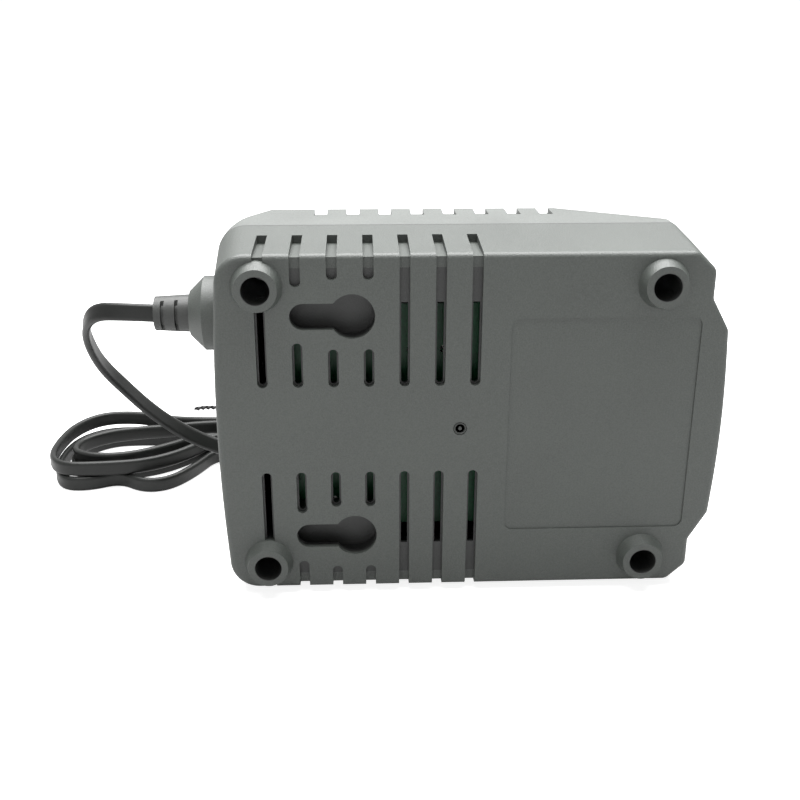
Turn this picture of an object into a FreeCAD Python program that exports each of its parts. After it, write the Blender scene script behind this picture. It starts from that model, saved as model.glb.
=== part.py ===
"""Slide-on battery charger, standing on its long side wall with its cord in a loose hank behind it.

The pieces are drawn in the charger's own frame: X runs along the case from the cord end to the nose
and is 0 midway between the feet, Y is the depth from the face that carries the feet, and Z is 0 on the
case's long centre line. The whole is then moved so that the case stands on Z = 0, centred on X and Y.
Sizes are in millimetres.
"""
import FreeCAD, Part
import math
import os
import re
from types import SimpleNamespace

from FreeCAD import Rotation, Vector

os.makedirs("parts", exist_ok=True)
doc = FreeCAD.newDocument("battery_charger")

# Driving dimensions
DIMENSIONS = {
    # Outline of the face with the feet
    "half_width": 53.7,
    "tail_reach": 73.8,
    "tail_corner_reach": 70.4,
    "tail_bow": 600.0,
    "tail_corner": 9.0,
    "nose_reach": 81.4,
    "nose_bow": 350.0,
    "nose_edge_reach": 79.6,
    "nose_edge_half": 29.9,
    "step_reach": 74.2,
    "step_half": 39.4,
    "front_chamfer_half": 48.2,
    "front_chamfer_reach": 68.3,
    "front_corner": 3.0,
    # Case
    "wall": 3.0,
    "parting_depth": 31.0,
    "rim_radius": 1.8,
    "ridge_radius": 1.2,
    "draft_reach": 2.3,
    "shoulder_depth": 57.0,
    "shoulder_half": 44.0,
    "ridge_depth": 65.0,
    "ridge_tail_reach": 63.0,
    "ridge_front_reach": 32.0,
    "slope_front_reach": 76.0,
    "slope_foot_depth": 33.0,
    "shoulder_tail_reach": 58.0,
    "shoulder_front_reach": 36.0,
    "lap_depth": 2.5,
    "lap_wall": 1.4,
    "lap_gap": 0.2,
    # Feet and case screws
    "foot_x": 58.8,
    "foot_z": 44.4,
    "foot_height": 4.4,
    "foot_tip_radius": 6.2,
    "foot_root_radius": 7.5,
    "foot_hole_radius": 4.1,
    "foot_hole_depth": 24.0,
    "boss_radius": 6.8,
    "boss_floor": 4.0,
    "boss_gap": 0.3,
    "top_boss_radius": 4.4,
    "screw_radius": 1.7,
    "screw_length": 16.0,
    "screw_head_radius": 3.4,
    "screw_head_height": 2.4,
    "screw_clearance": 0.05,
    "screw_hole_clearance": 0.3,
    # Vents
    "vent_first_x": 58.3,
    "vent_pitch": 10.5,
    "vent_groove_width": 3.1,
    "vent_groove_depth": 1.8,
    "vent_slot_width": 2.0,
    "vent_inner": 13.8,
    "vent_long_outer": 39.2,
    "vent_short_outer": 25.0,
    "vent_second_outer": 27.0,
    "vent_groove_inner": 46.3,
    "vent_second_groove_inner": 44.3,
    "vent_side_depth": 20.0,
    "vent_side_cut": 1.0,
    # Keyhole hangers
    "keyhole_x": 31.6,
    "keyhole_z": 35.5,
    "keyhole_radius": 6.7,
    "keyhole_slot_half": 3.95,
    "keyhole_travel": 14.2,
    "keyhole_head_room": 4.4,
    "keyhole_head_gap": 0.4,
    "keyhole_wall": 1.5,
    # Label recess and moulding gate
    "recess_low_x": 15.0,
    "recess_high_x": 71.3,
    "recess_half": 34.4,
    "recess_depth": 0.4,
    "recess_corner": 2.5,
    "gate_x": 0.5,
    "gate_radius": 2.1,
    "gate_depth": 0.3,
    # Side notches of the upper half
    "notch_first_x": 41.6,
    "notch_pitch": 10.5,
    "notch_width": 4.2,
    "notch_depth": 1.8,
    "notch_from": 46.5,
    # Battery deck
    "deck_depth": 53.0,
    "deck_half": 34.0,
    "deck_tail_x": 28.2,
    "rail_height": 3.5,
    "rail_overhang": 3.5,
    "rail_front_x": 26.0,
    "shelf_tail_x": 61.0,
    "shelf_half": 30.0,
    "wire_hole_low_x": 48.5,
    "wire_hole_high_x": 43.5,
    "wire_hole_half": 9.0,
    # Terminal block, blades and shutter
    "block_tail_x": 38.0,
    "block_front_x": 19.0,
    "block_half": 15.6,
    "block_height": 6.9,
    "blade_pitch": 6.0,
    "blade_thickness": 0.8,
    "blade_height": 5.0,
    "blade_lift": 1.2,
    "blade_tip_x": 5.8,
    "blade_tail": 2.5,
    "shutter_tip_x": 4.0,
    "shutter_wall": 1.2,
    "shutter_gap": 0.5,
    "shutter_slit_clearance": 0.4,
    "shutter_travel": 13.0,
    "slider_gap": 0.3,
    "pusher_thickness": 2.0,
    "pusher_reach": 9.5,
    "pusher_height": 6.0,
    "spring_radius": 2.5,
    "spring_wire_radius": 0.3,
    "spring_turns": 9.0,
    "spring_pin_radius": 1.7,
    "spring_pin_length": 6.0,
    # Status lights
    "light_pipe_x": 60.0,
    "light_pipe_spread": 8.0,
    "light_pipe_length": 3.0,
    "light_pipe_width": 6.0,
    "light_pipe_clearance": 0.15,
    # Circuit board
    "board_lift": 7.2,
    "board_thickness": 1.6,
    "board_tail_x": 56.0,
    "board_front_x": 66.0,
    "board_half": 36.5,
    "post_radius": 3.1,
    "board_screw_radius": 1.3,
    "board_screw_length": 7.0,
    "board_head_radius": 2.6,
    "board_head_height": 1.8,
    "tail_post_x": 53.0,
    "tail_post_z": 14.0,
    "front_post_x": 60.0,
    "front_post_z": 28.0,
    # Pieces on the board
    "connector_x": 49.0,
    "connector_length": 10.0,
    "connector_height": 8.0,
    "connector_width": 12.0,
    "mains_lead_radius": 1.2,
    "fuse_x": 32.0,
    "fuse_z": 33.0,
    "fuse_length": 20.0,
    "fuse_radius": 2.6,
    "suppressor_x": 31.0,
    "suppressor_z": 24.5,
    "suppressor_length": 18.0,
    "suppressor_height": 16.0,
    "suppressor_width": 9.0,
    "choke_x": 31.0,
    "choke_z": 8.5,
    "choke_radius": 8.5,
    "choke_eye_radius": 4.5,
    "choke_height": 8.0,
    "choke_wire": 1.2,
    "bridge_x": 31.0,
    "bridge_z": 13.0,
    "bridge_length": 15.0,
    "bridge_height": 15.0,
    "bridge_width": 4.0,
    "bulk_x": 38.0,
    "bulk_z": 26.5,
    "bulk_radius": 9.0,
    "bulk_height": 30.0,
    "sink_z": 29.0,
    "sink_length": 34.0,
    "sink_height": 28.0,
    "sink_plate": 2.0,
    "sink_fin": 1.6,
    "sink_fin_depth": 5.0,
    "primary_sink_x": 7.0,
    "secondary_sink_x": 36.0,
    "transistor_length": 10.0,
    "transistor_height": 18.0,
    "transistor_width": 4.5,
    "transformer_x": 2.0,
    "transformer_z": 3.0,
    "core_length": 34.0,
    "core_height": 30.0,
    "core_depth": 12.0,
    "core_leg": 10.0,
    "core_window": 7.0,
    "core_yoke": 5.0,
    "bobbin_wall": 1.0,
    "bobbin_clearance": 0.3,
    "bobbin_foot": 2.0,
    "bobbin_depth": 30.0,
    "winding_build": 4.5,
    "optocoupler_x": 24.0,
    "optocoupler_z": 12.0,
    "optocoupler_length": 5.0,
    "optocoupler_height": 3.5,
    "optocoupler_width": 7.0,
    "output_can_x": 28.0,
    "output_can_z": 10.0,
    "output_can_pitch": 12.0,
    "output_can_radius": 5.0,
    "output_can_height": 22.0,
    "chip_x": 46.0,
    "chip_z": 14.0,
    "chip_length": 9.0,
    "chip_height": 1.6,
    "chip_width": 9.0,
    "led_radius": 1.5,
    "led_height": 4.0,
    "output_wire_radius": 0.9,
    # Strain relief and cord clamp
    "entry_z": 28.2,
    "entry_boss_radius": 11.8,
    "entry_boss_tip_radius": 7.3,
    "entry_boss_reach": 82.6,
    "entry_boss_cone": 4.6,
    "sleeve_radius": 6.0,
    "sleeve_tip_radius": 5.4,
    "sleeve_length": 11.2,
    "sleeve_groove_depth": 1.1,
    "sleeve_groove_width": 2.2,
    "sleeve_clearance": 0.1,
    "flange_radius": 7.0,
    "flange_thickness": 1.8,
    "cord_width": 5.8,
    "cord_thickness": 2.8,
    "clamp_x": 65.4,
    "clamp_length": 5.4,
    "clamp_width": 20.0,
    "clamp_thickness": 3.0,
    "clamp_screw_spread": 7.4,
    "cord_end_x": 57.0,
    # Free cord, hank, tie and plug
    "cord_radius": 2.1,
    "hank_left_x": 122.0,
    "hank_right_x": 38.0,
    "hank_near": 82.1,
    "hank_far": 144.1,
    "hank_pitch": 6.0,
    "hank_draw": 13.0,
    "hank_layer_gap": 0.5,
    "hank_lift": 0.9,
    "tie_thickness": 0.5,
    "tie_width": 4.0,
    "tie_gap": 0.3,
    "tie_tail_radius": 0.8,
    "tie_tail_length": 22.0,
    "plug_x": 30.0,
    "plug_y": 96.0,
    "plug_length": 30.0,
    "plug_width": 25.0,
    "plug_height": 16.0,
    "plug_rounding": 3.0,
    "plug_neck_length": 12.0,
    "plug_neck_radius": 5.0,
    "plug_blade_length": 17.5,
    "plug_blade_width": 6.35,
    "plug_blade_thickness": 1.55,
    "plug_blade_spacing": 12.7,
}

sheet = doc.addObject("Spreadsheet::Sheet", "Sizes")
for row, (alias, value) in enumerate(DIMENSIONS.items(), start=1):
    sheet.set(f"A{row}", alias)
    sheet.set(f"B{row}", str(value))
    sheet.setAlias(f"B{row}", alias)
doc.recompute()
S = SimpleNamespace(**{alias: float(sheet.get(alias)) for alias in DIMENSIONS})

ALONG_X = Rotation(Vector(0, 1, 0), 90)
ALONG_Y = Rotation(Vector(1, 0, 0), -90)
NODES = {}


def bind(thing, formulas):
    """Bind properties of a thing to formulas made of the sheet's names."""
    for path, formula in formulas.items():
        thing.setExpression(path, re.sub(r"[a-z][a-z_0-9]*", r"Sizes.\g<0>", formula))
    return thing


def at(x, y, z):
    """The bindings of a place."""
    return {"Placement.Base.x": x, "Placement.Base.y": y, "Placement.Base.z": z}


def block(name, corner, spans):
    """A box from its low corner, both given as three formulas."""
    box = doc.addObject("Part::Box", name)
    bind(box, {"Length": spans[0], "Width": spans[1], "Height": spans[2], **at(*corner)})
    return box


def rod(name, start, radius, length, turn=ALONG_Y):
    """A cylinder from the centre of one end, along Y unless it is turned."""
    cylinder = doc.addObject("Part::Cylinder", name)
    cylinder.Placement = FreeCAD.Placement(Vector(), turn)
    bind(cylinder, {"Radius": radius, "Height": length, **at(*start)})
    return cylinder


def cone(name, start, first_radius, last_radius, length, turn=ALONG_Y):
    """A cone from the centre of one end, along Y unless it is turned."""
    shape = doc.addObject("Part::Cone", name)
    shape.Placement = FreeCAD.Placement(Vector(), turn)
    bind(shape, {"Radius1": first_radius, "Radius2": last_radius, "Height": length, **at(*start)})
    return shape


def joined(name, pieces):
    """The union of some pieces."""
    union = doc.addObject("Part::MultiFuse", name)
    union.Shapes = pieces
    return union


def carved(name, body, tools):
    """A body with the tools cut out of it."""
    result = doc.addObject("Part::Cut", name)
    result.Base = body
    result.Tool = tools[0] if len(tools) == 1 else joined(name + "_tools", tools)
    return result


def shaped(name, shape):
    """A piece whose shape is worked out here from the sheet's sizes."""
    feature = doc.addObject("Part::Feature", name)
    feature.Shape = shape
    return feature


def node(label, *pieces):
    """One separate piece of the charger, or one group of like pieces, under its own name."""
    group = doc.addObject("Part::Compound", label)
    group.Label = label
    group.Links = list(pieces)
    NODES[label] = group
    return group


def box_shape(low, high):
    """A box between two corners."""
    spans = [b - a for a, b in zip(low, high)]
    return Part.makeBox(*spans, Vector(*low))


# Outlines and profiles
def case_corners():
    """The case's outline as corners (x, z, radius), round from the middle of the nose."""
    upper = [
        (S.nose_edge_reach, S.nose_edge_half, S.front_corner),
        (S.step_reach, S.step_half, S.front_corner),
        (S.step_reach, S.front_chamfer_half, S.front_corner),
        (S.front_chamfer_reach, S.half_width, S.front_corner),
        (-S.tail_corner_reach, S.half_width, S.tail_corner),
    ]
    lower = [(x, -z, radius) for x, z, radius in reversed(upper)]
    return [(S.nose_reach, 0.0, S.nose_bow)] + upper + [(-S.tail_reach, 0.0, S.tail_bow)] + lower


def grown(corners, reach):
    """Corners moved so that each side lies further out by reach, for a path that turns left."""
    moved = []
    for index, (x, z, radius) in enumerate(corners):
        before = corners[index - 1]
        after = corners[(index + 1) % len(corners)]
        first = Vector(x - before[0], z - before[1], 0).normalize()
        second = Vector(after[0] - x, after[1] - z, 0).normalize()
        outward = Vector(first.y + second.y, -first.x - second.x, 0).normalize()
        step = reach / (outward.x * first.y - outward.y * first.x)
        moved.append((x + outward.x * step, z + outward.y * step, radius))
    return moved


def rounded_wire(corners, place):
    """A closed wire through corners (a, b, radius), each rounded; place lays each one in space."""
    arcs = []
    for index, (a, b, radius) in enumerate(corners):
        corner = Vector(a, b, 0)
        before = Vector(*corners[index - 1][:2], 0)
        after = Vector(*corners[(index + 1) % len(corners)][:2], 0)
        back = (before - corner).normalize()
        onward = (after - corner).normalize()
        half = back.getAngle(onward) / 2
        tangent = radius / math.tan(half)
        middle = (back + onward).normalize() * (radius / math.sin(half) - radius)
        arcs.append((corner + back * tangent, corner + middle, corner + onward * tangent))
    edges = []
    for index, (start, middle, end) in enumerate(arcs):
        leave = arcs[index - 1][2]
        edges.append(Part.LineSegment(place(leave), place(start)).toShape())
        edges.append(Part.Arc(place(start), place(middle), place(end)).toShape())
    return Part.Wire(edges)


def case_wire(reach, depth):
    """The case's outline at a depth, further out by reach."""
    return rounded_wire(grown(case_corners(), reach), lambda spot: Vector(spot.x, depth, spot.y))


def drafted(first_reach, first_depth, last_reach, last_depth):
    """A solid between two outlines of the case."""
    wires = [case_wire(first_reach, first_depth), case_wire(last_reach, last_depth)]
    return Part.makeLoft(wires, True, True)


def side_profile(corners, half):
    """A prism across the case with a side view of corners (x, y)."""
    points = [Vector(x, y, -half) for x, y in corners]
    return Part.Face(Part.makePolygon(points + points[:1])).extrude(Vector(0, 0, 2 * half))


def stadium(low_x, high_x, z, half, low_y, high_y):
    """A slot along X with round ends, cut between two depths."""
    middle = box_shape((low_x, low_y, z - half), (high_x, high_y, z + half))
    ends = [
        Part.makeCylinder(half, high_y - low_y, Vector(x, low_y, z), Vector(0, 1, 0))
        for x in (low_x, high_x)
    ]
    return middle.fuse(ends)


def vent(x, inner, outer, width, low_y, high_y, side, round_outer=False):
    """A slot along Z with a round inner end, and a square or round outer end."""
    half = width / 2
    far = outer - half if round_outer else outer
    reach = sorted((side * (inner + half), side * far))
    slot = box_shape((x - half, low_y, reach[0]), (x + half, high_y, reach[1]))
    ends = [inner + half] + ([far] if round_outer else [])
    return slot.fuse([Part.makeCylinder(half, high_y - low_y, Vector(x, low_y, side * end), Vector(0, 1, 0))
                      for end in ends])


FLOOR_Z = -(S.half_width + S.draft_reach)
FEET = [(x, z) for x in (-S.foot_x, S.foot_x) for z in (-S.foot_z, S.foot_z)]
POSTS = [(-S.tail_post_x, S.tail_post_z), (S.front_post_x, S.front_post_z)]
POSTS = [(x, side * z) for x, z in POSTS for side in (-1, 1)]
BOSS_TOP = S.foot_hole_depth + S.boss_floor
BOARD_BOTTOM = S.wall + S.board_lift
BOARD_TOP = BOARD_BOTTOM + S.board_thickness
OVER = 1.0


def upright(x, z, low_y, high_y, radius):
    """A cylinder along Y between two depths."""
    return Part.makeCylinder(radius, high_y - low_y, Vector(x, low_y, z), Vector(0, 1, 0))


def along(x_low, x_high, y, z, radius, last_radius=None):
    """A cylinder or cone along X between two places."""
    start = Vector(x_low, y, z)
    if last_radius is None:
        return Part.makeCylinder(radius, x_high - x_low, start, Vector(1, 0, 0))
    return Part.makeCone(radius, last_radius, x_high - x_low, start, Vector(1, 0, 0))


def entry_boss():
    """The bulge on the end wall that holds the strain relief, half on each shell."""
    shoulder_x = -S.entry_boss_reach + S.entry_boss_cone
    tip = along(-S.entry_boss_reach, shoulder_x, S.parting_depth, S.entry_z,
                S.entry_boss_tip_radius, S.entry_boss_radius)
    root = along(shoulder_x, -S.tail_corner_reach, S.parting_depth, S.entry_z, S.entry_boss_radius)
    return tip.fuse(root)


def entry_bore():
    """The hole through the end wall for the strain relief's neck."""
    radius = S.sleeve_radius + S.sleeve_clearance
    inside_x = -S.tail_corner_reach + S.wall
    return along(-S.entry_boss_reach - OVER, inside_x, S.parting_depth, S.entry_z, radius)


# Base shell: the half with the feet
def vent_cuts():
    """Grooves over the edge and stepped slots through the face, the same on both sides of the middle."""
    cuts = []
    face_out = S.half_width + S.draft_reach + OVER
    ledge = (S.vent_groove_width - S.vent_slot_width) / 2
    half = S.vent_groove_width / 2
    groove_inner = [S.foot_z, S.vent_second_groove_inner] + 2 * [S.vent_groove_inner] + 3 * [S.vent_inner]
    slot_outer = [S.foot_z, S.vent_second_outer] + 2 * [S.vent_short_outer] + 3 * [S.vent_long_outer]
    for column in range(7):
        x = -S.vent_first_x + column * S.vent_pitch
        short = column < 4
        for side in (-1, 1):
            cuts.append(vent(x, groove_inner[column], face_out, S.vent_groove_width,
                             -OVER, S.vent_groove_depth, side))
            wall_reach = sorted((side * (S.half_width - S.vent_side_cut), side * face_out))
            cuts.append(box_shape((x - half, -OVER, wall_reach[0]), (x + half, S.vent_side_depth, wall_reach[1])))
            if short:
                cuts.append(vent(x, S.vent_inner, slot_outer[column] + ledge, S.vent_groove_width,
                                 -OVER, S.vent_groove_depth, side, True))
            cuts.append(vent(x, S.vent_inner + ledge, slot_outer[column], S.vent_slot_width,
                             -OVER, S.wall + OVER, side, short))
    return cuts


def keyhole_pockets():
    """Closed pockets inside the face, behind the keyholes."""
    inside = S.keyhole_radius + S.keyhole_head_gap
    deep = S.wall + S.keyhole_head_room
    outer = []
    inner = []
    for side in (-1, 1):
        z = side * S.keyhole_z
        ends = (-S.keyhole_x - S.keyhole_travel, -S.keyhole_x)
        outer.append(stadium(*ends, z, inside + S.keyhole_wall, S.wall / 2, deep + S.keyhole_wall))
        inner.append(stadium(*ends, z, inside, S.wall, deep))
        inner.append(upright(-S.keyhole_x, z, -OVER, S.wall + OVER, S.keyhole_radius))
        inner.append(stadium(*ends, z, S.keyhole_slot_half, -OVER, S.wall + OVER))
    return outer, inner


def rounded_rim(solid, depth, radius):
    """The solid with the edges of its face at one depth rounded."""
    rim = [edge for edge in solid.Edges
           if all(abs(spot.Point.y - depth) < OVER / 10 for spot in edge.Vertexes)]
    return solid.makeFillet(radius, rim)


def base_shell():
    """The lower half: drafted tray, feet, screw bosses, board posts, keyhole pockets and vents."""
    tray = rounded_rim(drafted(0.0, 0.0, S.draft_reach, S.parting_depth), 0.0, S.rim_radius)
    wall_slope = S.draft_reach / S.parting_depth
    hollow = drafted(S.wall * wall_slope - S.wall, S.wall,
                     S.draft_reach + OVER * wall_slope - S.wall, S.parting_depth + OVER)
    tray = tray.cut(hollow)
    outer_pockets, inner_pockets = keyhole_pockets()
    keep = tray.fuse(hollow)
    for x, z in FEET:
        foot = Part.makeCone(S.foot_tip_radius, S.foot_root_radius, S.foot_height,
                             Vector(x, -S.foot_height, z), Vector(0, 1, 0))
        tray = tray.fuse([foot, upright(x, z, S.wall / 2, BOSS_TOP, S.boss_radius).common(keep)])
    posts = [upright(x, z, S.wall / 2, BOARD_BOTTOM, S.post_radius) for x, z in POSTS]
    pedestal_half = S.clamp_width / 2
    clearance = S.sleeve_clearance
    pedestal = box_shape(
        (-S.clamp_x, S.wall / 2, S.entry_z - pedestal_half),
        (-S.clamp_x + S.clamp_length,
         S.parting_depth - S.cord_thickness / 2 - clearance, S.entry_z + pedestal_half))
    half_boss = entry_boss().cut(hollow).common(
        box_shape((-200, -100, -100), (200, S.parting_depth, 100)))
    tray = tray.fuse(posts + outer_pockets + [pedestal, half_boss])
    holes = [entry_bore()]
    for x, z in FEET:
        holes.append(upright(x, z, -S.foot_height - OVER, S.foot_hole_depth, S.foot_hole_radius))
        holes.append(upright(x, z, 0, BOSS_TOP + OVER, S.screw_radius + S.screw_hole_clearance))
    for x, z in POSTS:
        holes.append(upright(x, z, BOARD_TOP - S.board_screw_length, BOARD_BOTTOM + OVER,
                             S.board_screw_radius + S.screw_clearance))
    for side in (-1, 1):
        z = S.entry_z + side * S.clamp_screw_spread
        holes.append(upright(-S.clamp_x + S.clamp_length / 2, z, S.parting_depth - S.board_screw_length,
                             S.parting_depth, S.board_screw_radius + S.screw_clearance))
    recess = rounded_wire(
        [(S.recess_high_x, -S.recess_half, S.recess_corner),
         (S.recess_high_x, S.recess_half, S.recess_corner),
         (S.recess_low_x, S.recess_half, S.recess_corner),
         (S.recess_low_x, -S.recess_half, S.recess_corner)],
        lambda spot: Vector(spot.x, -OVER, spot.y))
    holes.append(Part.Face(recess).extrude(Vector(0, OVER + S.recess_depth, 0)))
    holes.append(upright(S.gate_x, 0, -OVER, S.gate_depth, S.gate_radius))
    feet_keep = [Part.makeCylinder(S.foot_root_radius, S.wall + S.foot_height,
                                   Vector(x, -S.foot_height, z), Vector(0, 1, 0)) for x, z in FEET]
    grooves = Part.makeCompound(vent_cuts()).cut(feet_keep)
    return tray.cut(holes + inner_pockets + [grooves])


node("base_shell", shaped("base_shell_shape", base_shell()))


# Top shell: the half that the battery slides onto
def top_prism(reach, high):
    """The upper half's outer form, with every face further in by reach and open down to a depth."""
    shoulder = side_profile([
        (-100.0, high),
        (100.0, high),
        (100.0, S.slope_foot_depth - reach),
        (S.slope_front_reach - reach, S.slope_foot_depth - reach),
        (S.shoulder_front_reach - reach / 2, S.shoulder_depth - reach),
        (-S.shoulder_tail_reach + reach / 2, S.shoulder_depth - reach),
        (-S.tail_corner_reach - S.draft_reach + reach, S.parting_depth + reach),
        (-100.0, S.parting_depth),
    ], S.half_width + S.draft_reach - reach)
    ridge = side_profile([
        (-100.0, high),
        (100.0, high),
        (100.0, S.slope_foot_depth - reach),
        (S.slope_front_reach - reach, S.slope_foot_depth - reach),
        (S.ridge_front_reach - reach / 2, S.ridge_depth - reach),
        (-S.ridge_tail_reach + reach, S.ridge_depth - reach),
        (-S.tail_corner_reach - S.draft_reach + reach, S.parting_depth + reach),
        (-100.0, S.parting_depth),
    ], S.shoulder_half - reach)
    outline = Part.Face(case_wire(S.draft_reach - reach, high)).extrude(Vector(0, 100, 0))
    return shoulder.fuse(ridge).common(outline)


def battery_deck_cut():
    """The channel that the battery slides into, from the rear wall out through the nose."""
    return box_shape((-S.deck_tail_x, S.deck_depth, -S.deck_half), (200, 200, S.deck_half))


def shutter_window():
    """The opening in the rear wall that the shutter backs into."""
    half = S.block_half + S.shutter_gap + S.shutter_wall + S.slider_gap
    high = S.deck_depth + S.block_height + S.shutter_gap + S.shutter_wall + 2 * S.slider_gap
    return box_shape((-S.deck_tail_x - S.wall - OVER, S.deck_depth, -half),
                     (-S.deck_tail_x + OVER, high, half))


def light_pipe_prism(z, clearance, low_y, high_y):
    """A rectangular column along Y at the place of one light pipe."""
    half_x = S.light_pipe_length / 2 + clearance
    half_z = S.light_pipe_width / 2 + clearance
    return box_shape((S.light_pipe_x - half_x, low_y, z - half_z),
                     (S.light_pipe_x + half_x, high_y, z + half_z))


LIGHT_PIPES = (-S.light_pipe_spread, S.light_pipe_spread)


def top_shell():
    """The upper half: hollow body, deck, rails, rear shelf, screw bosses and side notches."""
    outer = rounded_rim(top_prism(0.0, S.parting_depth), S.ridge_depth, S.ridge_radius)
    cavity = top_prism(S.wall, S.parting_depth - OVER)
    deck_block = box_shape(
        (-S.deck_tail_x - S.wall, S.deck_depth - S.wall, -S.deck_half - S.wall),
        (200, 200, S.deck_half + S.wall))
    shell = outer.cut(cavity.cut(deck_block)).cut(battery_deck_cut())
    shelf = box_shape((-S.shelf_tail_x, S.deck_depth - S.wall, -S.shelf_half),
                      (-S.deck_tail_x - S.wall / 2, S.deck_depth, S.shelf_half))
    added = [shelf.common(outer)]
    for side in (-1, 1):
        reach = sorted((side * (S.deck_half - S.rail_overhang), side * (S.deck_half + S.wall / 2)))
        added.append(box_shape((-S.deck_tail_x - S.wall / 2, S.ridge_depth - S.rail_height, reach[0]),
                               (S.rail_front_x, S.ridge_depth, reach[1])))
    for x, z in FEET:
        added.append(upright(x, z, BOSS_TOP + S.boss_gap, S.ridge_depth, S.top_boss_radius).common(outer))
    lap_out = S.draft_reach - S.wall - S.lap_gap
    lap_in = S.draft_reach - S.wall - S.lap_wall
    lap_low = S.parting_depth - S.lap_depth
    lap_high = S.parting_depth + S.lap_depth
    lap = drafted(lap_out, lap_low, lap_out, S.parting_depth).fuse(
        drafted(lap_out + 2 * S.lap_gap, S.parting_depth, lap_out + 2 * S.lap_gap, lap_high))
    lap = lap.cut(drafted(lap_in, lap_low - OVER, lap_in, lap_high + OVER))
    entry_keep = along(-100, -S.tail_corner_reach + 2 * S.wall, S.parting_depth, S.entry_z,
                       S.flange_radius + OVER)
    added.append(lap.cut(entry_keep))
    half_boss = entry_boss().cut(cavity).common(
        box_shape((-200, S.parting_depth, -100), (200, 200, 100)))
    added.append(half_boss)
    pin_x = -S.shelf_tail_x + OVER
    spring_y = S.deck_depth + S.slider_gap + S.pusher_height / 2
    spring_z = S.block_half + S.shutter_gap + S.shutter_wall + S.pusher_reach / 2
    added.append(along(-S.ridge_tail_reach, pin_x + S.spring_pin_length, spring_y, spring_z,
                       S.spring_pin_radius))
    seat = box_shape((-S.ridge_tail_reach - S.wall, S.deck_depth - OVER, spring_z - S.pusher_reach / 2),
                     (pin_x, S.ridge_depth - S.wall / 2, spring_z + S.pusher_reach / 2))
    added.append(seat.common(outer))
    shell = shell.fuse(added)
    cuts = [entry_bore(), shutter_window()]
    for x, z in FEET:
        depth = S.foot_hole_depth + S.screw_length + OVER
        cuts.append(upright(x, z, BOSS_TOP - OVER, depth, S.screw_radius + S.screw_clearance))
    side_out = S.half_width + S.draft_reach
    for column in range(8):
        x = -S.notch_first_x + column * S.notch_pitch
        for side in (-1, 1):
            reach = sorted((side * (side_out - S.notch_depth), side * (side_out + OVER)))
            cuts.append(box_shape((x - S.notch_width / 2, S.notch_from, reach[0]),
                                  (x + S.notch_width / 2, S.shoulder_depth + OVER, reach[1])))
    cuts.append(box_shape((-S.wire_hole_low_x, S.deck_depth - S.wall - OVER, -S.wire_hole_half),
                          (-S.wire_hole_high_x, S.deck_depth + OVER, S.wire_hole_half)))
    for z in LIGHT_PIPES:
        cuts.append(light_pipe_prism(z, S.light_pipe_clearance, S.parting_depth, S.ridge_depth))
    return shell.cut(cuts), outer


top_shape, top_outer = top_shell()
node("top_shell", shaped("top_shell_shape", top_shape))

# Case screws, up the hollow feet into the upper half
FOOT_PLACES = [(x, z) for x in ("-foot_x", "foot_x") for z in ("-foot_z", "foot_z")]
case_screws = []
for number, (x, z) in enumerate(FOOT_PLACES):
    head = rod(f"case_screw_head_{number}", (x, "foot_hole_depth - screw_head_height", z),
               "screw_head_radius", "screw_head_height")
    shank = rod(f"case_screw_shank_{number}", (x, "foot_hole_depth", z), "screw_radius", "screw_length")
    drive = rod(f"case_screw_drive_{number}", (x, "foot_hole_depth - screw_head_height", z),
                "screw_radius", "screw_head_height / 2")
    case_screws.append(carved(f"case_screw_{number}", joined(f"case_screw_body_{number}", [head, shank]),
                              [drive]))
node("case_screws", *case_screws)

# Circuit board on its four posts
BOARD_LOW = "wall + board_lift"
BOARD_HIGH = "wall + board_lift + board_thickness"
board_blank = block("board_blank", ("-board_tail_x", BOARD_LOW, "-board_half"),
                    ("board_tail_x + board_front_x", "board_thickness", "2 * board_half"))
POST_PLACES = [(x, z) for x, z in (("-tail_post_x", "tail_post_z"), ("-tail_post_x", "-tail_post_z"),
                                   ("front_post_x", "front_post_z"), ("front_post_x", "-front_post_z"))]
board_holes = []
board_screws = []
for number, (x, z) in enumerate(POST_PLACES):
    board_holes.append(rod(f"board_hole_{number}", (x, BOARD_LOW, z),
                           "board_screw_radius + screw_hole_clearance", "board_thickness"))
    head = rod(f"board_screw_head_{number}", (x, BOARD_HIGH, z), "board_head_radius", "board_head_height")
    shank = rod(f"board_screw_shank_{number}", (x, BOARD_HIGH + " - board_screw_length", z),
                "board_screw_radius", "board_screw_length")
    board_screws.append(joined(f"board_screw_{number}", [head, shank]))
node("circuit_board", carved("board_drilled", board_blank, board_holes))
node("board_screws", *board_screws)


def on_board(name, x, z, length, height, width):
    """A box standing on the board, centred on x and z."""
    return block(name, (f"{x} - {length} / 2", BOARD_HIGH, f"{z} - {width} / 2"), (length, height, width))


def can(name, x, z, radius, height):
    """A round can standing on the board."""
    return rod(name, (x, BOARD_HIGH, z), radius, height)


# Mains side of the board
node("mains_connector", on_board("mains_connector_body", "-connector_x", "entry_z",
                                 "connector_length", "connector_height", "connector_width"))
fuse_y = BOARD_HIGH + " + fuse_radius"
fuse_start = ("-fuse_x - fuse_length / 2", fuse_y, "fuse_z")
node("fuse", rod("fuse_body", fuse_start, "fuse_radius", "fuse_length", ALONG_X))
node("suppression_capacitor", on_board("suppression_capacitor_body", "-suppressor_x", "suppressor_z",
                                       "suppressor_length", "suppressor_height", "suppressor_width"))
choke_ring = can("choke_ring", "-choke_x", "choke_z", "choke_radius", "choke_height")
choke_eye = can("choke_eye", "-choke_x", "choke_z", "choke_eye_radius", "choke_height")
node("filter_choke_core", carved("choke_core_ring", choke_ring, [choke_eye]))


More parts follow.
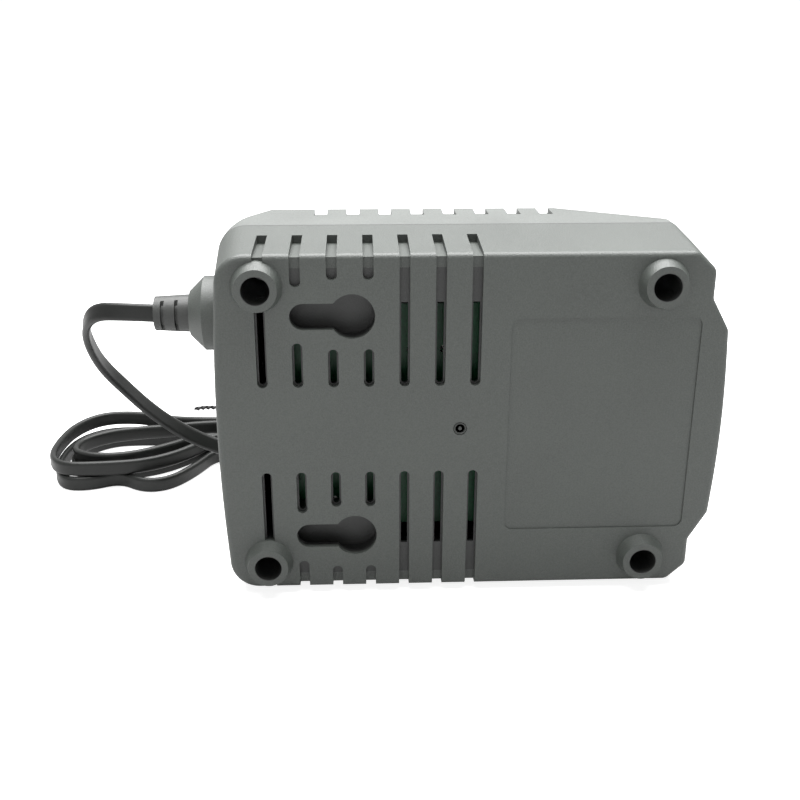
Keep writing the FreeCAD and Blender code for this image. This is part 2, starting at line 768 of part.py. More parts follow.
def choke_windings():
    """Two wound sectors round the choke's ring, as sleeves that clear it."""
    sleeves = []
    outer = S.choke_radius + S.choke_wire
    inner = S.choke_eye_radius - S.choke_wire
    low = BOARD_TOP
    top = BOARD_TOP + S.choke_height
    core = upright(-S.choke_x, S.choke_z, low, top, S.choke_radius)
    core = core.cut(upright(-S.choke_x, S.choke_z, low, top, S.choke_eye_radius))
    ring = upright(-S.choke_x, S.choke_z, low, top + S.choke_wire, outer)
    ring = ring.cut(upright(-S.choke_x, S.choke_z, low, top + S.choke_wire, inner)).cut(core)
    for side in (-1, 1):
        reach = sorted((side * S.choke_radius * 0.3, side * 2 * S.choke_radius))
        half = box_shape((-S.choke_x - outer, low, S.choke_z + reach[0]),
                         (-S.choke_x + outer, top + S.choke_wire, S.choke_z + reach[1]))
        sleeves.append(ring.common(half))
    return Part.makeCompound(sleeves)


node("filter_choke_windings", shaped("choke_windings_shape", choke_windings()))
node("bridge_rectifier", on_board("bridge_rectifier_body", "-bridge_x", "-bridge_z",
                                  "bridge_length", "bridge_height", "bridge_width"))
node("bulk_capacitor", can("bulk_capacitor_can", "-bulk_x", "-bulk_z", "bulk_radius", "bulk_height"))


def heat_sink(name, x, z, direction):
    """A plate on the board with fins pointing away from its transistor."""
    plate = on_board(name + "_plate", x, z, "sink_length", "sink_height", "sink_plate")
    fins = []
    for number in range(5):
        fin_x = f"{x} - sink_length / 2 + {number} * (sink_length - sink_fin) / 4"
        fin_z = f"{z} + sink_plate / 2" if direction > 0 else f"{z} - sink_plate / 2 - sink_fin_depth"
        fins.append(block(f"{name}_fin_{number}", (fin_x, BOARD_HIGH, fin_z),
                          ("sink_fin", "sink_height", "sink_fin_depth")))
    return node(name, joined(name + "_body", [plate] + fins))


heat_sink("primary_heat_sink", "-primary_sink_x", "-sink_z", -1)
node("switching_transistor", on_board(
    "switching_transistor_body", "-primary_sink_x", "-sink_z + sink_plate / 2 + transistor_width / 2",
    "transistor_length", "transistor_height", "transistor_width"))

# Transformer: bobbin on the board, winding round it, core through and round both
core_z = "transformer_z"
bobbin_low = BOARD_HIGH
core_low = "wall + board_lift + board_thickness + bobbin_foot"
legs = "core_height - 2 * core_yoke"
outer_core = block("core_blank", ("-transformer_x - core_length / 2", core_low, "transformer_z - core_depth / 2"),
                   ("core_length", "core_height", "core_depth"))
windows = []
for side, sign in (("left", "-"), ("right", "+")):
    window_x = f"-transformer_x {sign} (core_leg + core_window) / 2 - core_window / 2"
    windows.append(block(f"core_window_{side}", (window_x, core_low + " + core_yoke",
                                                 "transformer_z - core_depth / 2"),
                         ("core_window", legs, "core_depth")))
node("transformer_core", carved("core_with_windows", outer_core, windows))
clear = "bobbin_clearance"
tube_half = f"core_leg / 2 + {clear} + bobbin_wall"
bobbin_tube = block("bobbin_tube", (f"-transformer_x - ({tube_half})", f"{core_low} + core_yoke + {clear}",
                                    f"transformer_z - core_depth / 2 - {clear} - bobbin_wall"),
                    (f"2 * ({tube_half})", f"{legs} - 2 * {clear}",
                     f"core_depth + 2 * ({clear} + bobbin_wall)"))
bobbin_hole = block("bobbin_hole", (f"-transformer_x - core_leg / 2 - {clear}", f"{core_low} + core_yoke",
                                    f"transformer_z - core_depth / 2 - {clear}"),
                    (f"core_leg + 2 * {clear}", legs, f"core_depth + 2 * {clear}"))
flanges = []
for end, lift in (("low", f"{core_low} + core_yoke + {clear}"),
                  ("high", f"{core_low} + core_yoke + {legs} - {clear} - bobbin_wall")):
    flanges.append(block(f"bobbin_flange_{end}",
                         (f"-transformer_x - core_leg / 2 - core_window + {clear}", lift,
                          "transformer_z - bobbin_depth / 2"),
                         (f"core_leg + 2 * core_window - 2 * {clear}", "bobbin_wall", "bobbin_depth")))
feet = []
for side, z in (("near", "transformer_z - bobbin_depth / 2"),
                ("far", "transformer_z + bobbin_depth / 2 - bobbin_foot")):
    feet.append(block(f"bobbin_foot_{side}", ("-transformer_x - core_leg / 2 - core_window + bobbin_clearance",
                                              BOARD_HIGH, z),
                      (f"core_leg + 2 * core_window - 2 * {clear}",
                       f"bobbin_foot + core_yoke + {clear} + bobbin_wall", "bobbin_foot")))
node("transformer_bobbin", carved("bobbin_body", joined("bobbin_parts", [bobbin_tube] + flanges + feet),
                                  [bobbin_hole]))
winding_low = f"{core_low} + core_yoke + {clear} + bobbin_wall"
winding_high = f"{legs} - 2 * {clear} - 2 * bobbin_wall"
winding_outer = block("winding_outer", (f"-transformer_x - ({tube_half}) - winding_build", winding_low,
                                        f"transformer_z - core_depth / 2 - {clear} - bobbin_wall - winding_build"),
                      (f"2 * ({tube_half}) + 2 * winding_build", winding_high,
                       f"core_depth + 2 * ({clear} + bobbin_wall + winding_build)"))
winding_inner = block("winding_inner", (f"-transformer_x - ({tube_half})", winding_low,
                                        f"transformer_z - core_depth / 2 - {clear} - bobbin_wall"),
                      (f"2 * ({tube_half})", winding_high, f"core_depth + 2 * ({clear} + bobbin_wall)"))
node("transformer_winding", carved("winding_body", winding_outer, [winding_inner]))

# Output side of the board
node("optocoupler", on_board("optocoupler_body", "optocoupler_x", "-optocoupler_z",
                             "optocoupler_length", "optocoupler_height", "optocoupler_width"))
heat_sink("secondary_heat_sink", "secondary_sink_x", "sink_z", 1)
node("output_diode", on_board(
    "output_diode_body", "secondary_sink_x", "sink_z - sink_plate / 2 - transistor_width / 2",
    "transistor_length", "transistor_height", "transistor_width"))
node("output_capacitors",
     can("output_capacitor_1", "output_can_x", "output_can_z", "output_can_radius", "output_can_height"),
     can("output_capacitor_2", "output_can_x + output_can_pitch", "output_can_z",
         "output_can_radius", "output_can_height"))
node("controller_chip", on_board("controller_chip_body", "chip_x", "-chip_z",
                                 "chip_length", "chip_height", "chip_width"))

# Status lights: diodes on the board under clear pipes that end flush with the nose
diodes = []
for number, sign in enumerate(("-", "")):
    z = f"{sign}light_pipe_spread"
    base = can(f"status_led_base_{number}", "light_pipe_x", z, "led_radius", "led_height")
    dome = doc.addObject("Part::Sphere", f"status_led_dome_{number}")
    bind(dome, {"Radius": "led_radius", **at("light_pipe_x", BOARD_HIGH + " + led_height", z)})
    diodes.append(joined(f"status_led_{number}", [base, dome]))
node("status_leds", *diodes)
pipe_low = BOARD_TOP + S.led_height + S.led_radius + S.light_pipe_clearance
pipes = [light_pipe_prism(z, 0.0, pipe_low, S.ridge_depth).common(
    top_outer.fuse(box_shape((-100, 0, -50), (100, S.parting_depth + OVER, 50)))) for z in LIGHT_PIPES]
node("light_pipes", shaped("light_pipe_bars", Part.makeCompound(pipes)))

# Terminal block with its blades, and the wires down to the board
BLADES = [(number - 2) * S.blade_pitch for number in range(5)]


def blade_shape(z):
    """One flat contact blade from its tail behind the block to its tip over the deck."""
    low_y = S.deck_depth + S.blade_lift
    return box_shape((-S.block_tail_x - S.blade_tail, low_y, z - S.blade_thickness / 2),
                     (-S.blade_tip_x, low_y + S.blade_height, z + S.blade_thickness / 2))


blades = Part.makeCompound([blade_shape(z) for z in BLADES])
node("contact_blades", shaped("contact_blade_set", blades))
terminal_body = box_shape((-S.block_tail_x, S.deck_depth, -S.block_half),
                          (-S.block_front_x, S.deck_depth + S.block_height, S.block_half))
node("terminal_block", shaped("terminal_block_body", terminal_body.cut(blades)))


def route_wire(points, names):
    """A path of straight runs joined by arcs as large as the runs allow; prints each radius."""
    spots = [Vector(*point) for point in points]
    edges = []
    start = spots[0]
    radii = []
    for before, corner, after in zip(spots, spots[1:], spots[2:]):
        back = (before - corner).normalize()
        onward = (after - corner).normalize()
        half_turn = (math.pi - back.getAngle(onward)) / 2
        tangent = 0.45 * min((before - corner).Length, (after - corner).Length)
        radius = tangent / math.tan(half_turn)
        radii.append(round(radius, 1))
        middle = (back + onward).normalize() * (radius / math.cos(half_turn) - radius)
        edges.append(Part.LineSegment(start, corner + back * tangent).toShape())
        edges.append(Part.Arc(corner + back * tangent, corner + middle, corner + onward * tangent).toShape())
        start = corner + onward * tangent
    edges.append(Part.LineSegment(start, spots[-1]).toShape())
    print(names, "radii", radii)
    return Part.Wire(edges)


def tube(wire, radius, name):
    """A round tube along a path, with its volume compared with section times length."""
    first = wire.Edges[0]
    start = first.valueAt(first.FirstParameter)
    heading = first.tangentAt(first.FirstParameter)
    ring = Part.Wire(Part.makeCircle(radius, start, heading))
    swept = wire.makePipeShell([ring], True, False)
    ideal = math.pi * radius ** 2 * wire.Length
    print(name, "length", round(wire.Length, 1), "volume over ideal", round(swept.Volume / ideal, 4))
    return swept


wires = []
for z in BLADES[1:4]:
    wire_y = S.deck_depth + S.blade_lift + S.blade_height / 2
    drop_x = -(S.wire_hole_low_x + S.wire_hole_high_x) / 2
    wires.append(tube(route_wire([
        (-S.block_tail_x - S.blade_tail, wire_y, z),
        (drop_x, wire_y, z),
        (drop_x, BOARD_TOP, z),
    ], "output wire"), S.output_wire_radius, "output wire"))
node("output_wires", shaped("output_wire_set", Part.makeCompound(wires)))


# Terminal shutter: a hood over the blades that the battery pushes back against a spring
def terminal_shutter():
    """The hood, its slit front wall and the pusher behind the rear wall."""
    half = S.block_half + S.shutter_gap
    low = S.deck_depth + S.slider_gap
    high = S.deck_depth + S.block_height + S.shutter_gap
    pusher_front = -S.deck_tail_x - S.wall - S.slider_gap
    hood = box_shape((pusher_front - S.pusher_thickness, low, -half - S.shutter_wall),
                     (-S.shutter_tip_x, high + S.shutter_wall, half + S.shutter_wall))
    inside = box_shape((-100, 0, -half), (-S.shutter_tip_x - S.shutter_wall, high, half))
    pusher = box_shape((pusher_front - S.pusher_thickness, low, half),
                       (pusher_front, low + S.pusher_height, half + S.shutter_wall + S.pusher_reach))
    slits = []
    for z in BLADES:
        slit_half = S.blade_thickness / 2 + S.shutter_slit_clearance
        slit_high = S.deck_depth + S.blade_lift + S.blade_height + S.shutter_slit_clearance
        slits.append(box_shape((-S.shutter_tip_x - S.shutter_wall - OVER, 0, z - slit_half),
                               (0, slit_high, z + slit_half)))
    return hood.cut(inside).fuse(pusher).cut(slits)


node("terminal_shutter", shaped("terminal_shutter_hood", terminal_shutter()))
pusher_back = -S.deck_tail_x - S.wall - S.slider_gap - S.pusher_thickness
spring_seat = -S.shelf_tail_x + OVER
spring_length = pusher_back - spring_seat
helix = Part.makeHelix(spring_length / S.spring_turns - 2 * S.spring_wire_radius / S.spring_turns,
                       spring_length - 2 * S.spring_wire_radius, S.spring_radius)
spring_ring = Part.Wire(Part.makeCircle(S.spring_wire_radius, Vector(S.spring_radius, 0, 0), Vector(0, 1, 0)))
spring = Part.Wire(helix.Edges).makePipeShell([spring_ring], True, True)
spring.Placement = FreeCAD.Placement(
    Vector(spring_seat + S.spring_wire_radius, S.deck_depth + S.slider_gap + S.pusher_height / 2,
           S.block_half + S.shutter_gap + S.shutter_wall + S.pusher_reach / 2), ALONG_X)
node("shutter_spring", shaped("shutter_spring_coil", spring))


# Strain relief: ribbed sleeve, neck in the end wall and flange inside it
def flat_cord(x_low, x_high, spare=0.0):
    """A length of the flat twin cord along X at the entry, grown by spare."""
    half_z = S.cord_width / 2 + spare
    half_y = S.cord_thickness / 2 + spare
    straight = half_z - half_y
    middle = box_shape((x_low, S.parting_depth - half_y, S.entry_z - straight),
                       (x_high, S.parting_depth + half_y, S.entry_z + straight))
    sides = [along(x_low, x_high, S.parting_depth, S.entry_z + side * straight, half_y) for side in (-1, 1)]
    return middle.fuse(sides)


SLEEVE_END = -S.entry_boss_reach - S.sleeve_length
INNER_TAIL = S.tail_corner_reach + S.draft_reach - S.wall
TAIL_LEAN = (INNER_TAIL - S.ridge_tail_reach + S.wall) / (S.ridge_depth - S.parting_depth - 2 * S.wall)
FLANGE_X = -INNER_TAIL + TAIL_LEAN * (S.flange_radius - S.wall) + 2 * S.sleeve_clearance


def strain_relief():
    """The sleeve outside, its two cut rings, the neck through the wall and the flange."""
    axis = (S.parting_depth, S.entry_z)
    sleeve = along(SLEEVE_END, -S.entry_boss_reach, *axis, S.sleeve_tip_radius, S.sleeve_radius)
    for step in (1, 3):
        low = SLEEVE_END + step * S.sleeve_groove_width
        ring = along(low, low + S.sleeve_groove_width / 2, *axis, 2 * S.sleeve_radius)
        core = along(low, low + S.sleeve_groove_width / 2, *axis,
                     S.sleeve_tip_radius - S.sleeve_groove_depth)
        bridge = box_shape((low - OVER, S.parting_depth - S.cord_thickness, S.entry_z - S.sleeve_radius),
                           (low + 2 * OVER, S.parting_depth + S.cord_thickness, S.entry_z + S.sleeve_radius))
        sleeve = sleeve.cut(ring.cut(core).cut(bridge))
    neck = along(-S.entry_boss_reach, FLANGE_X + S.flange_thickness, *axis, S.sleeve_radius)
    flange = along(FLANGE_X, FLANGE_X + S.flange_thickness, *axis, S.flange_radius)
    whole = sleeve.fuse([neck, flange])
    return whole.cut(flat_cord(SLEEVE_END - OVER, FLANGE_X + S.flange_thickness + OVER, S.sleeve_clearance))


node("strain_relief", shaped("strain_relief_body", strain_relief()))
node("cord_inner_end", shaped("cord_inner_end_body", flat_cord(SLEEVE_END, -S.cord_end_x)))

# Cord clamp: a bar screwed down over the cord on its pedestal
clamp_low = "parting_depth + cord_thickness / 2 + sleeve_clearance"
clamp_bar = block("clamp_bar", ("-clamp_x", clamp_low, "entry_z - clamp_width / 2"),
                  ("clamp_length", "clamp_thickness", "clamp_width"))
clamp_holes = []
clamp_screws = []
for number, sign in enumerate(("-", "+")):
    place_x = "-clamp_x + clamp_length / 2"
    z = f"entry_z {sign} clamp_screw_spread"
    clamp_holes.append(rod(f"clamp_hole_{number}", (place_x, clamp_low, z),
                           "board_screw_radius + screw_hole_clearance", "clamp_thickness"))
    head = rod(f"clamp_screw_head_{number}", (place_x, clamp_low + " + clamp_thickness", z),
               "board_head_radius", "board_head_height")
    shank_low = "parting_depth - board_screw_length"
    shank = rod(f"clamp_screw_shank_{number}", (place_x, shank_low, z), "board_screw_radius",
                "board_screw_length + cord_thickness / 2 + sleeve_clearance + clamp_thickness")
    clamp_screws.append(joined(f"clamp_screw_{number}", [head, shank]))
node("cord_clamp", carved("clamp_bar_drilled", clamp_bar, clamp_holes))
node("clamp_screws", *clamp_screws)

# Mains leads from the cord's inner end down to the connector
connector_top = BOARD_TOP + S.connector_height
leads = []
for side in (-1, 1):
    z = S.entry_z + side * (S.cord_width - S.cord_thickness) / 2
    leads.append(tube(route_wire([
        (-S.cord_end_x, S.parting_depth, z),
        (-S.connector_x, S.parting_depth, z),
        (-S.connector_x, connector_top, z),
    ], "mains lead"), S.mains_lead_radius, "mains lead"))
node("mains_leads", shaped("mains_lead_pair", Part.makeCompound(leads)))

# Hank behind the case: two layers of drawn-in loops
LOW_LAYER = FLOOR_Z + S.hank_lift + S.cord_radius
HIGH_LAYER = LOW_LAYER + 2 * S.cord_radius + S.hank_layer_gap
WAIST_X = -(S.hank_left_x + S.hank_right_x) / 2


def drawn_run(start, end, heading):
    """Half a run: two arcs that leave and arrive along X, shifted sideways by the draw or a climb."""
    across = Vector(0, end.y - start.y, end.z - start.z)
    length = abs(end.x - start.x)
    shift = across.Length
    across.normalize()
    radius = (length ** 2 + shift ** 2) / (4 * shift)
    turn = math.atan2(shift, length)
    forward = Vector(heading, 0, 0)
    step = forward * (radius * math.sin(turn)) + across * (radius * (1 - math.cos(turn)))
    middle = (start + end) * 0.5
    return [Part.Arc(start, start + step, middle).toShape(), Part.Arc(middle, end - step, end).toShape()]


LEFT_TURNS = ((134.0, 81.0), (121.0, 89.0), (128.0, 85.5), (135.0, 80.5))


def hank_wire():
    """The hank's centre line: in four half turns down to the middle, a climb, and out again below.

    At the right end the runs keep even steps; at the left end the loops fan out to LEFT_TURNS.
    """
    inward = [(S.hank_near + k * S.hank_pitch, S.hank_far - k * S.hank_pitch) for k in range(2)]
    upper = [y for pair in inward for y in pair]
    lower = [S.hank_near + 2 * S.hank_pitch] + upper[::-1]
    runs = [(y, HIGH_LAYER) for y in upper] + [(y, LOW_LAYER) for y in lower]
    left_ends = [y for turn in LEFT_TURNS for y in turn]
    middle_y = (S.hank_near + S.hank_far) / 2
    edges = []
    spot = Vector(-S.hank_right_x - 2 * S.cord_radius, runs[0][0], runs[0][1])
    edges.append(Part.LineSegment(spot, Vector(-S.hank_right_x, spot.y, spot.z)).toShape())
    spot = Vector(-S.hank_right_x, spot.y, spot.z)
    heading = 1
    for (y, z), left_y in zip(runs[1:], left_ends):
        start_y, end_y = (y, left_y) if heading > 0 else (left_y, y)
        bulge = Vector(spot.x + heading * abs(start_y - spot.y) / 2, (start_y + spot.y) / 2, spot.z)
        turned = Vector(spot.x, start_y, spot.z)
        edges.append(Part.Arc(spot, bulge, turned).toShape())
        heading = -heading
        draw = S.hank_draw if y < middle_y else -S.hank_draw
        waist = Vector(WAIST_X, y + draw, (spot.z + z) / 2)
        spot = Vector(-S.hank_left_x if heading < 0 else -S.hank_right_x, end_y, z)
        edges.extend(drawn_run(turned, waist, heading))
        edges.extend(drawn_run(waist, spot, heading))
    edges.append(Part.LineSegment(spot, spot + Vector(2 * S.cord_radius, 0, 0)).toShape())
    return Part.Wire(edges)


def least_gap(wire, count):
    """The least distance between turns of a wound tube, measured on points along its centre line."""
    points = wire.discretize(Number=count)
    apart = int(8 * S.cord_radius / (wire.Length / count))
    least = min((points[i] - points[j]).Length
                for i in range(count) for j in range(i + apart, count))
    return least - 2 * S.cord_radius


hank_path = hank_wire()
print("hank least gap", round(least_gap(hank_path, 1200), 2))
node("cord_hank", shaped("cord_hank_tube", tube(hank_path, S.cord_radius, "hank")))

# Free stretches of the cord: from the sleeve down to the hank, and from the hank to the plug
hank_start = hank_path.Edges[0].firstVertex().Point
hank_end = hank_path.Edges[-1].lastVertex().Point
lead_points = [
    (SLEEVE_END, S.parting_depth, S.entry_z),
    (-102.5, S.parting_depth, S.entry_z),
    (-112.0, 36.0, 26.6),
    (-118.6, 45.0, 17.5),
    (-119.2, 52.0, 8.0),
    (-117.0, 58.5, 0.0),
    (-113.5, 64.0, -8.5),
    (-108.0, 70.5, -18.5),
    (-101.0, 76.5, -28.0),
    (-92.0, 80.5, -35.8),
    (-80.0, 82.6, -42.2),
    (-66.5, 82.8, -46.9),
    (-53.5, 82.1, HIGH_LAYER),
    tuple(hank_start),
]
lead_path = route_wire(lead_points, "cord lead")
node("cord_lead", shaped("cord_lead_tube", tube(lead_path, S.cord_radius, "cord lead")))
plug_axis = FLOOR_Z + S.plug_height / 2
neck_x = S.plug_x - S.plug_neck_length
tail_points = [
    tuple(hank_end),
    (-22.0, hank_end.y, LOW_LAYER),
    (-9.0, 85.2, LOW_LAYER + 0.8),
    (1.0, 92.4, plug_axis - 1.4),
    (9.0, S.plug_y, plug_axis),
    (neck_x, S.plug_y, plug_axis),
]
tail_path = route_wire(tail_points, "cord tail")
node("cord_tail", shaped("cord_tail_tube", tube(tail_path, S.cord_radius, "cord tail")))
print("cord length", round(lead_path.Length + hank_path.Length + tail_path.Length, 1))


# Twist tie round the hank's waist, with its twisted ends
def twist_tie():
    """A flat band round the drawn-in runs and the twisted pair of ends lying off it."""
    gap = S.cord_radius + S.tie_gap
    low = (S.hank_near + S.hank_draw - gap, LOW_LAYER - gap)
    high = (S.hank_far - S.hank_draw + gap, HIGH_LAYER + gap)
    half = S.tie_width / 2
    rim = S.tie_thickness
    outer = box_shape((WAIST_X - half, low[0] - rim, low[1] - rim), (WAIST_X + half, high[0] + rim, high[1] + rim))
    outer = outer.makeFillet(gap, [edge for edge in outer.Edges if abs(edge.tangentAt(0).x) > 0.9])
    inner = box_shape((WAIST_X - half, low[0], low[1]), (WAIST_X + half, high[0], high[1]))
    inner = inner.makeFillet(gap - rim, [edge for edge in inner.Edges if abs(edge.tangentAt(0).x) > 0.9])
    start = Vector(WAIST_X, high[0] + rim / 2, HIGH_LAYER)
    ends = Part.makeCylinder(S.tie_tail_radius, S.tie_tail_length, start, Vector(-1.0, 0.42, 0.12))
    return outer.fuse(ends).cut(inner)


node("twist_tie", shaped("twist_tie_band", twist_tie()))

# Mains plug lying behind the case
plug_block = block("plug_block", ("plug_x", "plug_y - plug_width / 2", "-half_width - draft_reach"),
                   ("plug_length", "plug_width", "plug_height"))
plug_round = doc.addObject("Part::Fillet", "plug_rounded")
plug_round.Base = plug_block
doc.recompute()
plug_round.Edges = [(number, S.plug_rounding, S.plug_rounding) for number in range(1, 13)]
plug_neck = cone("plug_neck", ("plug_x - plug_neck_length", "plug_y", "-half_width - draft_reach + plug_height / 2"),
                 "cord_radius + wall / 2", "plug_neck_radius", "plug_neck_length + wall", ALONG_X)
node("mains_plug_body", joined("plug_body_parts", [plug_round, plug_neck]))
plug_blades = []
for number, sign in enumerate(("-", "+")):
    plug_blades.append(block(
        f"plug_blade_{number}",
        ("plug_x + plug_length", f"plug_y {sign} plug_blade_spacing / 2 - plug_blade_thickness / 2",
         "-half_width - draft_reach + plug_height / 2 - plug_blade_width / 2"),
        ("plug_blade_length", "plug_blade_thickness", "plug_blade_width")))
node("plug_blades", *plug_blades)

# Placing: the case stands on Z = 0, centred on X and Y without its free cord
doc.recompute()
FREE_CORD = ("cord_lead", "cord_hank", "cord_tail", "twist_tie", "mains_plug_body", "plug_blades")
bounds = FreeCAD.BoundBox()
for label, group in NODES.items():
    if label not in FREE_CORD:
        bounds.add(group.Shape.optimalBoundingBox(False))
shift = Vector(-bounds.Center.x, -bounds.Center.y, -FLOOR_Z)
print("shift into the standing frame", [round(value, 3) for value in shift])
for group in NODES.values():
    group.Placement = FreeCAD.Placement(shift, Rotation())
doc.recompute()

# Every object must be sound before anything is written
for thing in doc.Objects:
    if "Invalid" in thing.State or "Error" in thing.State:
        raise RuntimeError(f"{thing.Name} failed: {thing.State}")
for label, group in NODES.items():
    if group.Shape.isNull() or not group.Shape.isValid() or not group.Shape.Solids:
        raise RuntimeError(f"{label} has no sound solid")
for label, group in NODES.items():
    group.Shape.exportStep(f"parts/{label}.step")
    print(label, len(group.Shape.Solids), "solids", round(group.Shape.Volume / 1000, 2), "cm3")
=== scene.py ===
"""Slide-on battery charger with its flat cord: finishes on the CAD solids,
and the soft and fine pieces made here."""

import bpy
import numpy as np
from mathutils import Matrix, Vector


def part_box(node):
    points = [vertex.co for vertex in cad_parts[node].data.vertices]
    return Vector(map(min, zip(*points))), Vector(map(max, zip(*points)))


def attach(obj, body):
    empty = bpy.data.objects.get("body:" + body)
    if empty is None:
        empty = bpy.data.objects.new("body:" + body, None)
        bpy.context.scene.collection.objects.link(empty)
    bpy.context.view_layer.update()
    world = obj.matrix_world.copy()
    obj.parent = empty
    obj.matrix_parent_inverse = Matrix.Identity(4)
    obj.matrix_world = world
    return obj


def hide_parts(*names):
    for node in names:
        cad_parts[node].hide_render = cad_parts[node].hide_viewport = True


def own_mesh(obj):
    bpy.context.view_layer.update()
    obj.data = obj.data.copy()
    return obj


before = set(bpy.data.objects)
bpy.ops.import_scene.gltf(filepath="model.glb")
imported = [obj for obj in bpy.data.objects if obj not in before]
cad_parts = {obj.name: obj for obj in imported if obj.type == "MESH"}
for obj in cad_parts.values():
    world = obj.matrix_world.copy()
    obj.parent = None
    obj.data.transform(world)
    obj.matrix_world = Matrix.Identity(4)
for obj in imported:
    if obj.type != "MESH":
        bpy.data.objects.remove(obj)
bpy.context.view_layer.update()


# Circuit board
# A green epoxy board on four posts, with copper tracks under its solder mask,
# held by four small plated screws.
BROAD_SHARE, GLOSS_SWING = 0.3, 0.06
TONE_STOPS = (0.25, 0.75)


def textured(name, colour, roughness, grain, depth, mottle=0.1, broad=60.0, metallic=0.0):
    """A finish from two noises in object space: a fine one, of about 1/grain metres, that raises the surface
    by depth metres, and a broad one that moves its roughness by GLOSS_SWING either way. Mixed, with
    BROAD_SHARE of the broad one, they move its tone by the share mottle either way."""
    material = bpy.data.materials.new(name)
    material.use_nodes = True
    tree = material.node_tree
    add, join = tree.nodes.new, tree.links.new
    shader = tree.nodes["Principled BSDF"]
    shader.inputs["Metallic"].default_value = metallic
    place = add("ShaderNodeTexCoord")
    fine, wide = add("ShaderNodeTexNoise"), add("ShaderNodeTexNoise")
    for noise, scale, detail in ((fine, grain, 3.0), (wide, broad, 4.0)):
        noise.inputs["Scale"].default_value = scale
        noise.inputs["Detail"].default_value = detail
        join(place.outputs["Object"], noise.inputs["Vector"])
    both = add("ShaderNodeMix")
    both.inputs["Factor"].default_value = BROAD_SHARE
    join(fine.outputs["Fac"], both.inputs["A"])
    join(wide.outputs["Fac"], both.inputs["B"])
    tone = add("ShaderNodeValToRGB")
    for stop, position, lift in zip(tone.color_ramp.elements, TONE_STOPS, (1.0 - mottle, 1.0 + mottle)):
        stop.position = position
        stop.color = [min(1.0, channel * lift) for channel in colour] + [1.0]
    join(both.outputs["Result"], tone.inputs["Fac"])
    join(tone.outputs["Color"], shader.inputs["Base Color"])
    gloss = add("ShaderNodeMapRange")
    gloss.inputs["To Min"].default_value = roughness - GLOSS_SWING
    gloss.inputs["To Max"].default_value = roughness + GLOSS_SWING
    join(wide.outputs["Fac"], gloss.inputs["Value"])
    join(gloss.outputs["Result"], shader.inputs["Roughness"])
    bump = add("ShaderNodeBump")
    bump.inputs["Distance"].default_value = depth
    join(fine.outputs["Fac"], bump.inputs["Height"])
    join(bump.outputs["Normal"], shader.inputs["Normal"])
    return material


def banded(material, scale, axis, share, depth):
    """Adds ridges to a finish: bands across one axis, about 3.2 times scale of them to a metre, that
    darken it by share and raise it by depth metres, as turns of wire or ribs do."""
    tree = material.node_tree
    add, join = tree.nodes.new, tree.links.new
    shader = tree.nodes["Principled BSDF"]
    tone = shader.inputs["Base Color"].links[0].from_socket
    wave = add("ShaderNodeTexWave")
    wave.bands_direction = axis
    wave.inputs["Scale"].default_value = scale
    join(tree.nodes["Texture Coordinate"].outputs["Object"], wave.inputs["Vector"])
    mix = add("ShaderNodeMix")
    mix.data_type = "RGBA"
    mix.blend_type = "MULTIPLY"
    mix.inputs["Factor"].default_value = share
    join(tone, mix.inputs["A"])
    join(wave.outputs["Color"], mix.inputs["B"])
    join(mix.outputs["Result"], shader.inputs["Base Color"])
    bump = tree.nodes["Bump"]
    rise = add("ShaderNodeBump")
    rise.inputs["Distance"].default_value = depth
    join(wave.outputs["Fac"], rise.inputs["Height"])
    join(bump.outputs["Normal"], rise.inputs["Normal"])
    join(rise.outputs["Normal"], shader.inputs["Normal"])
    return material


def dress(material, *names):
    """Puts a finish in every material slot of CAD nodes."""
    for name in names:
        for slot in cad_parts[name].material_slots:
            slot.material = material


board_green = banded(textured("board_green", (0.004, 0.12, 0.04), 0.4, 900.0, 2e-5, 0.3, 260.0),
                     42.0, "X", 0.35, 2e-5)
dress(board_green, "circuit_board")
zinc_plate = textured("zinc_plate", (0.33, 0.34, 0.35), 0.38, 2500.0, 6e-6, 0.15, 700.0, 1.0)
dress(zinc_plate, "case_screws", "board_screws", "clamp_screws")

# Solder joints
# Small bright cones on the underside of the board, one round each lead that comes through;
# they show through the vents.

# CASE_SHIFT is the place of the charger's own origin, on its base face. It is in millimetres,
# as are the places that it is added to.
CASE_SHIFT = np.array([5.365, -30.3, 56.0])
BOARD_UNDERSIDE = 10.2
JOINT_RADIUS, JOINT_RISE, JOINT_SIDES = 1.25, 0.95, 12
joint_places = np.array([
    (-53, 26), (-53, 21), (-46, 20), (-46, 8), (-40, 22), (-34, 30), (-42, 30), (-52, -6), (-47, -6),
    (-50, -20), (-44, -20), (-38, -28), (-30, -24), (-24, 12), (-24, 5), (-24, -3), (-24, -12), (-14, 22),
    (-9, 22), (-4, 22), (-12, -20), (-6, -14), (2, 16), (8, 16), (14, 16), (2, -12), (8, -12), (14, -12),
    (24, 14), (24, 8), (30, 22), (30, 18), (34, 4), (38, 4), (34, -20), (46, 12), (46, -12), (52, 6),
    (52, -4), (-20, 30)], float)
turn = np.linspace(0, 2 * np.pi, JOINT_SIDES, endpoint=False)
ring_radius = np.array([1.0, 0.62, 0.34, 0.28]) * JOINT_RADIUS
ring_rise = np.array([0.0, 0.35, 0.85, 1.0]) * JOINT_RISE


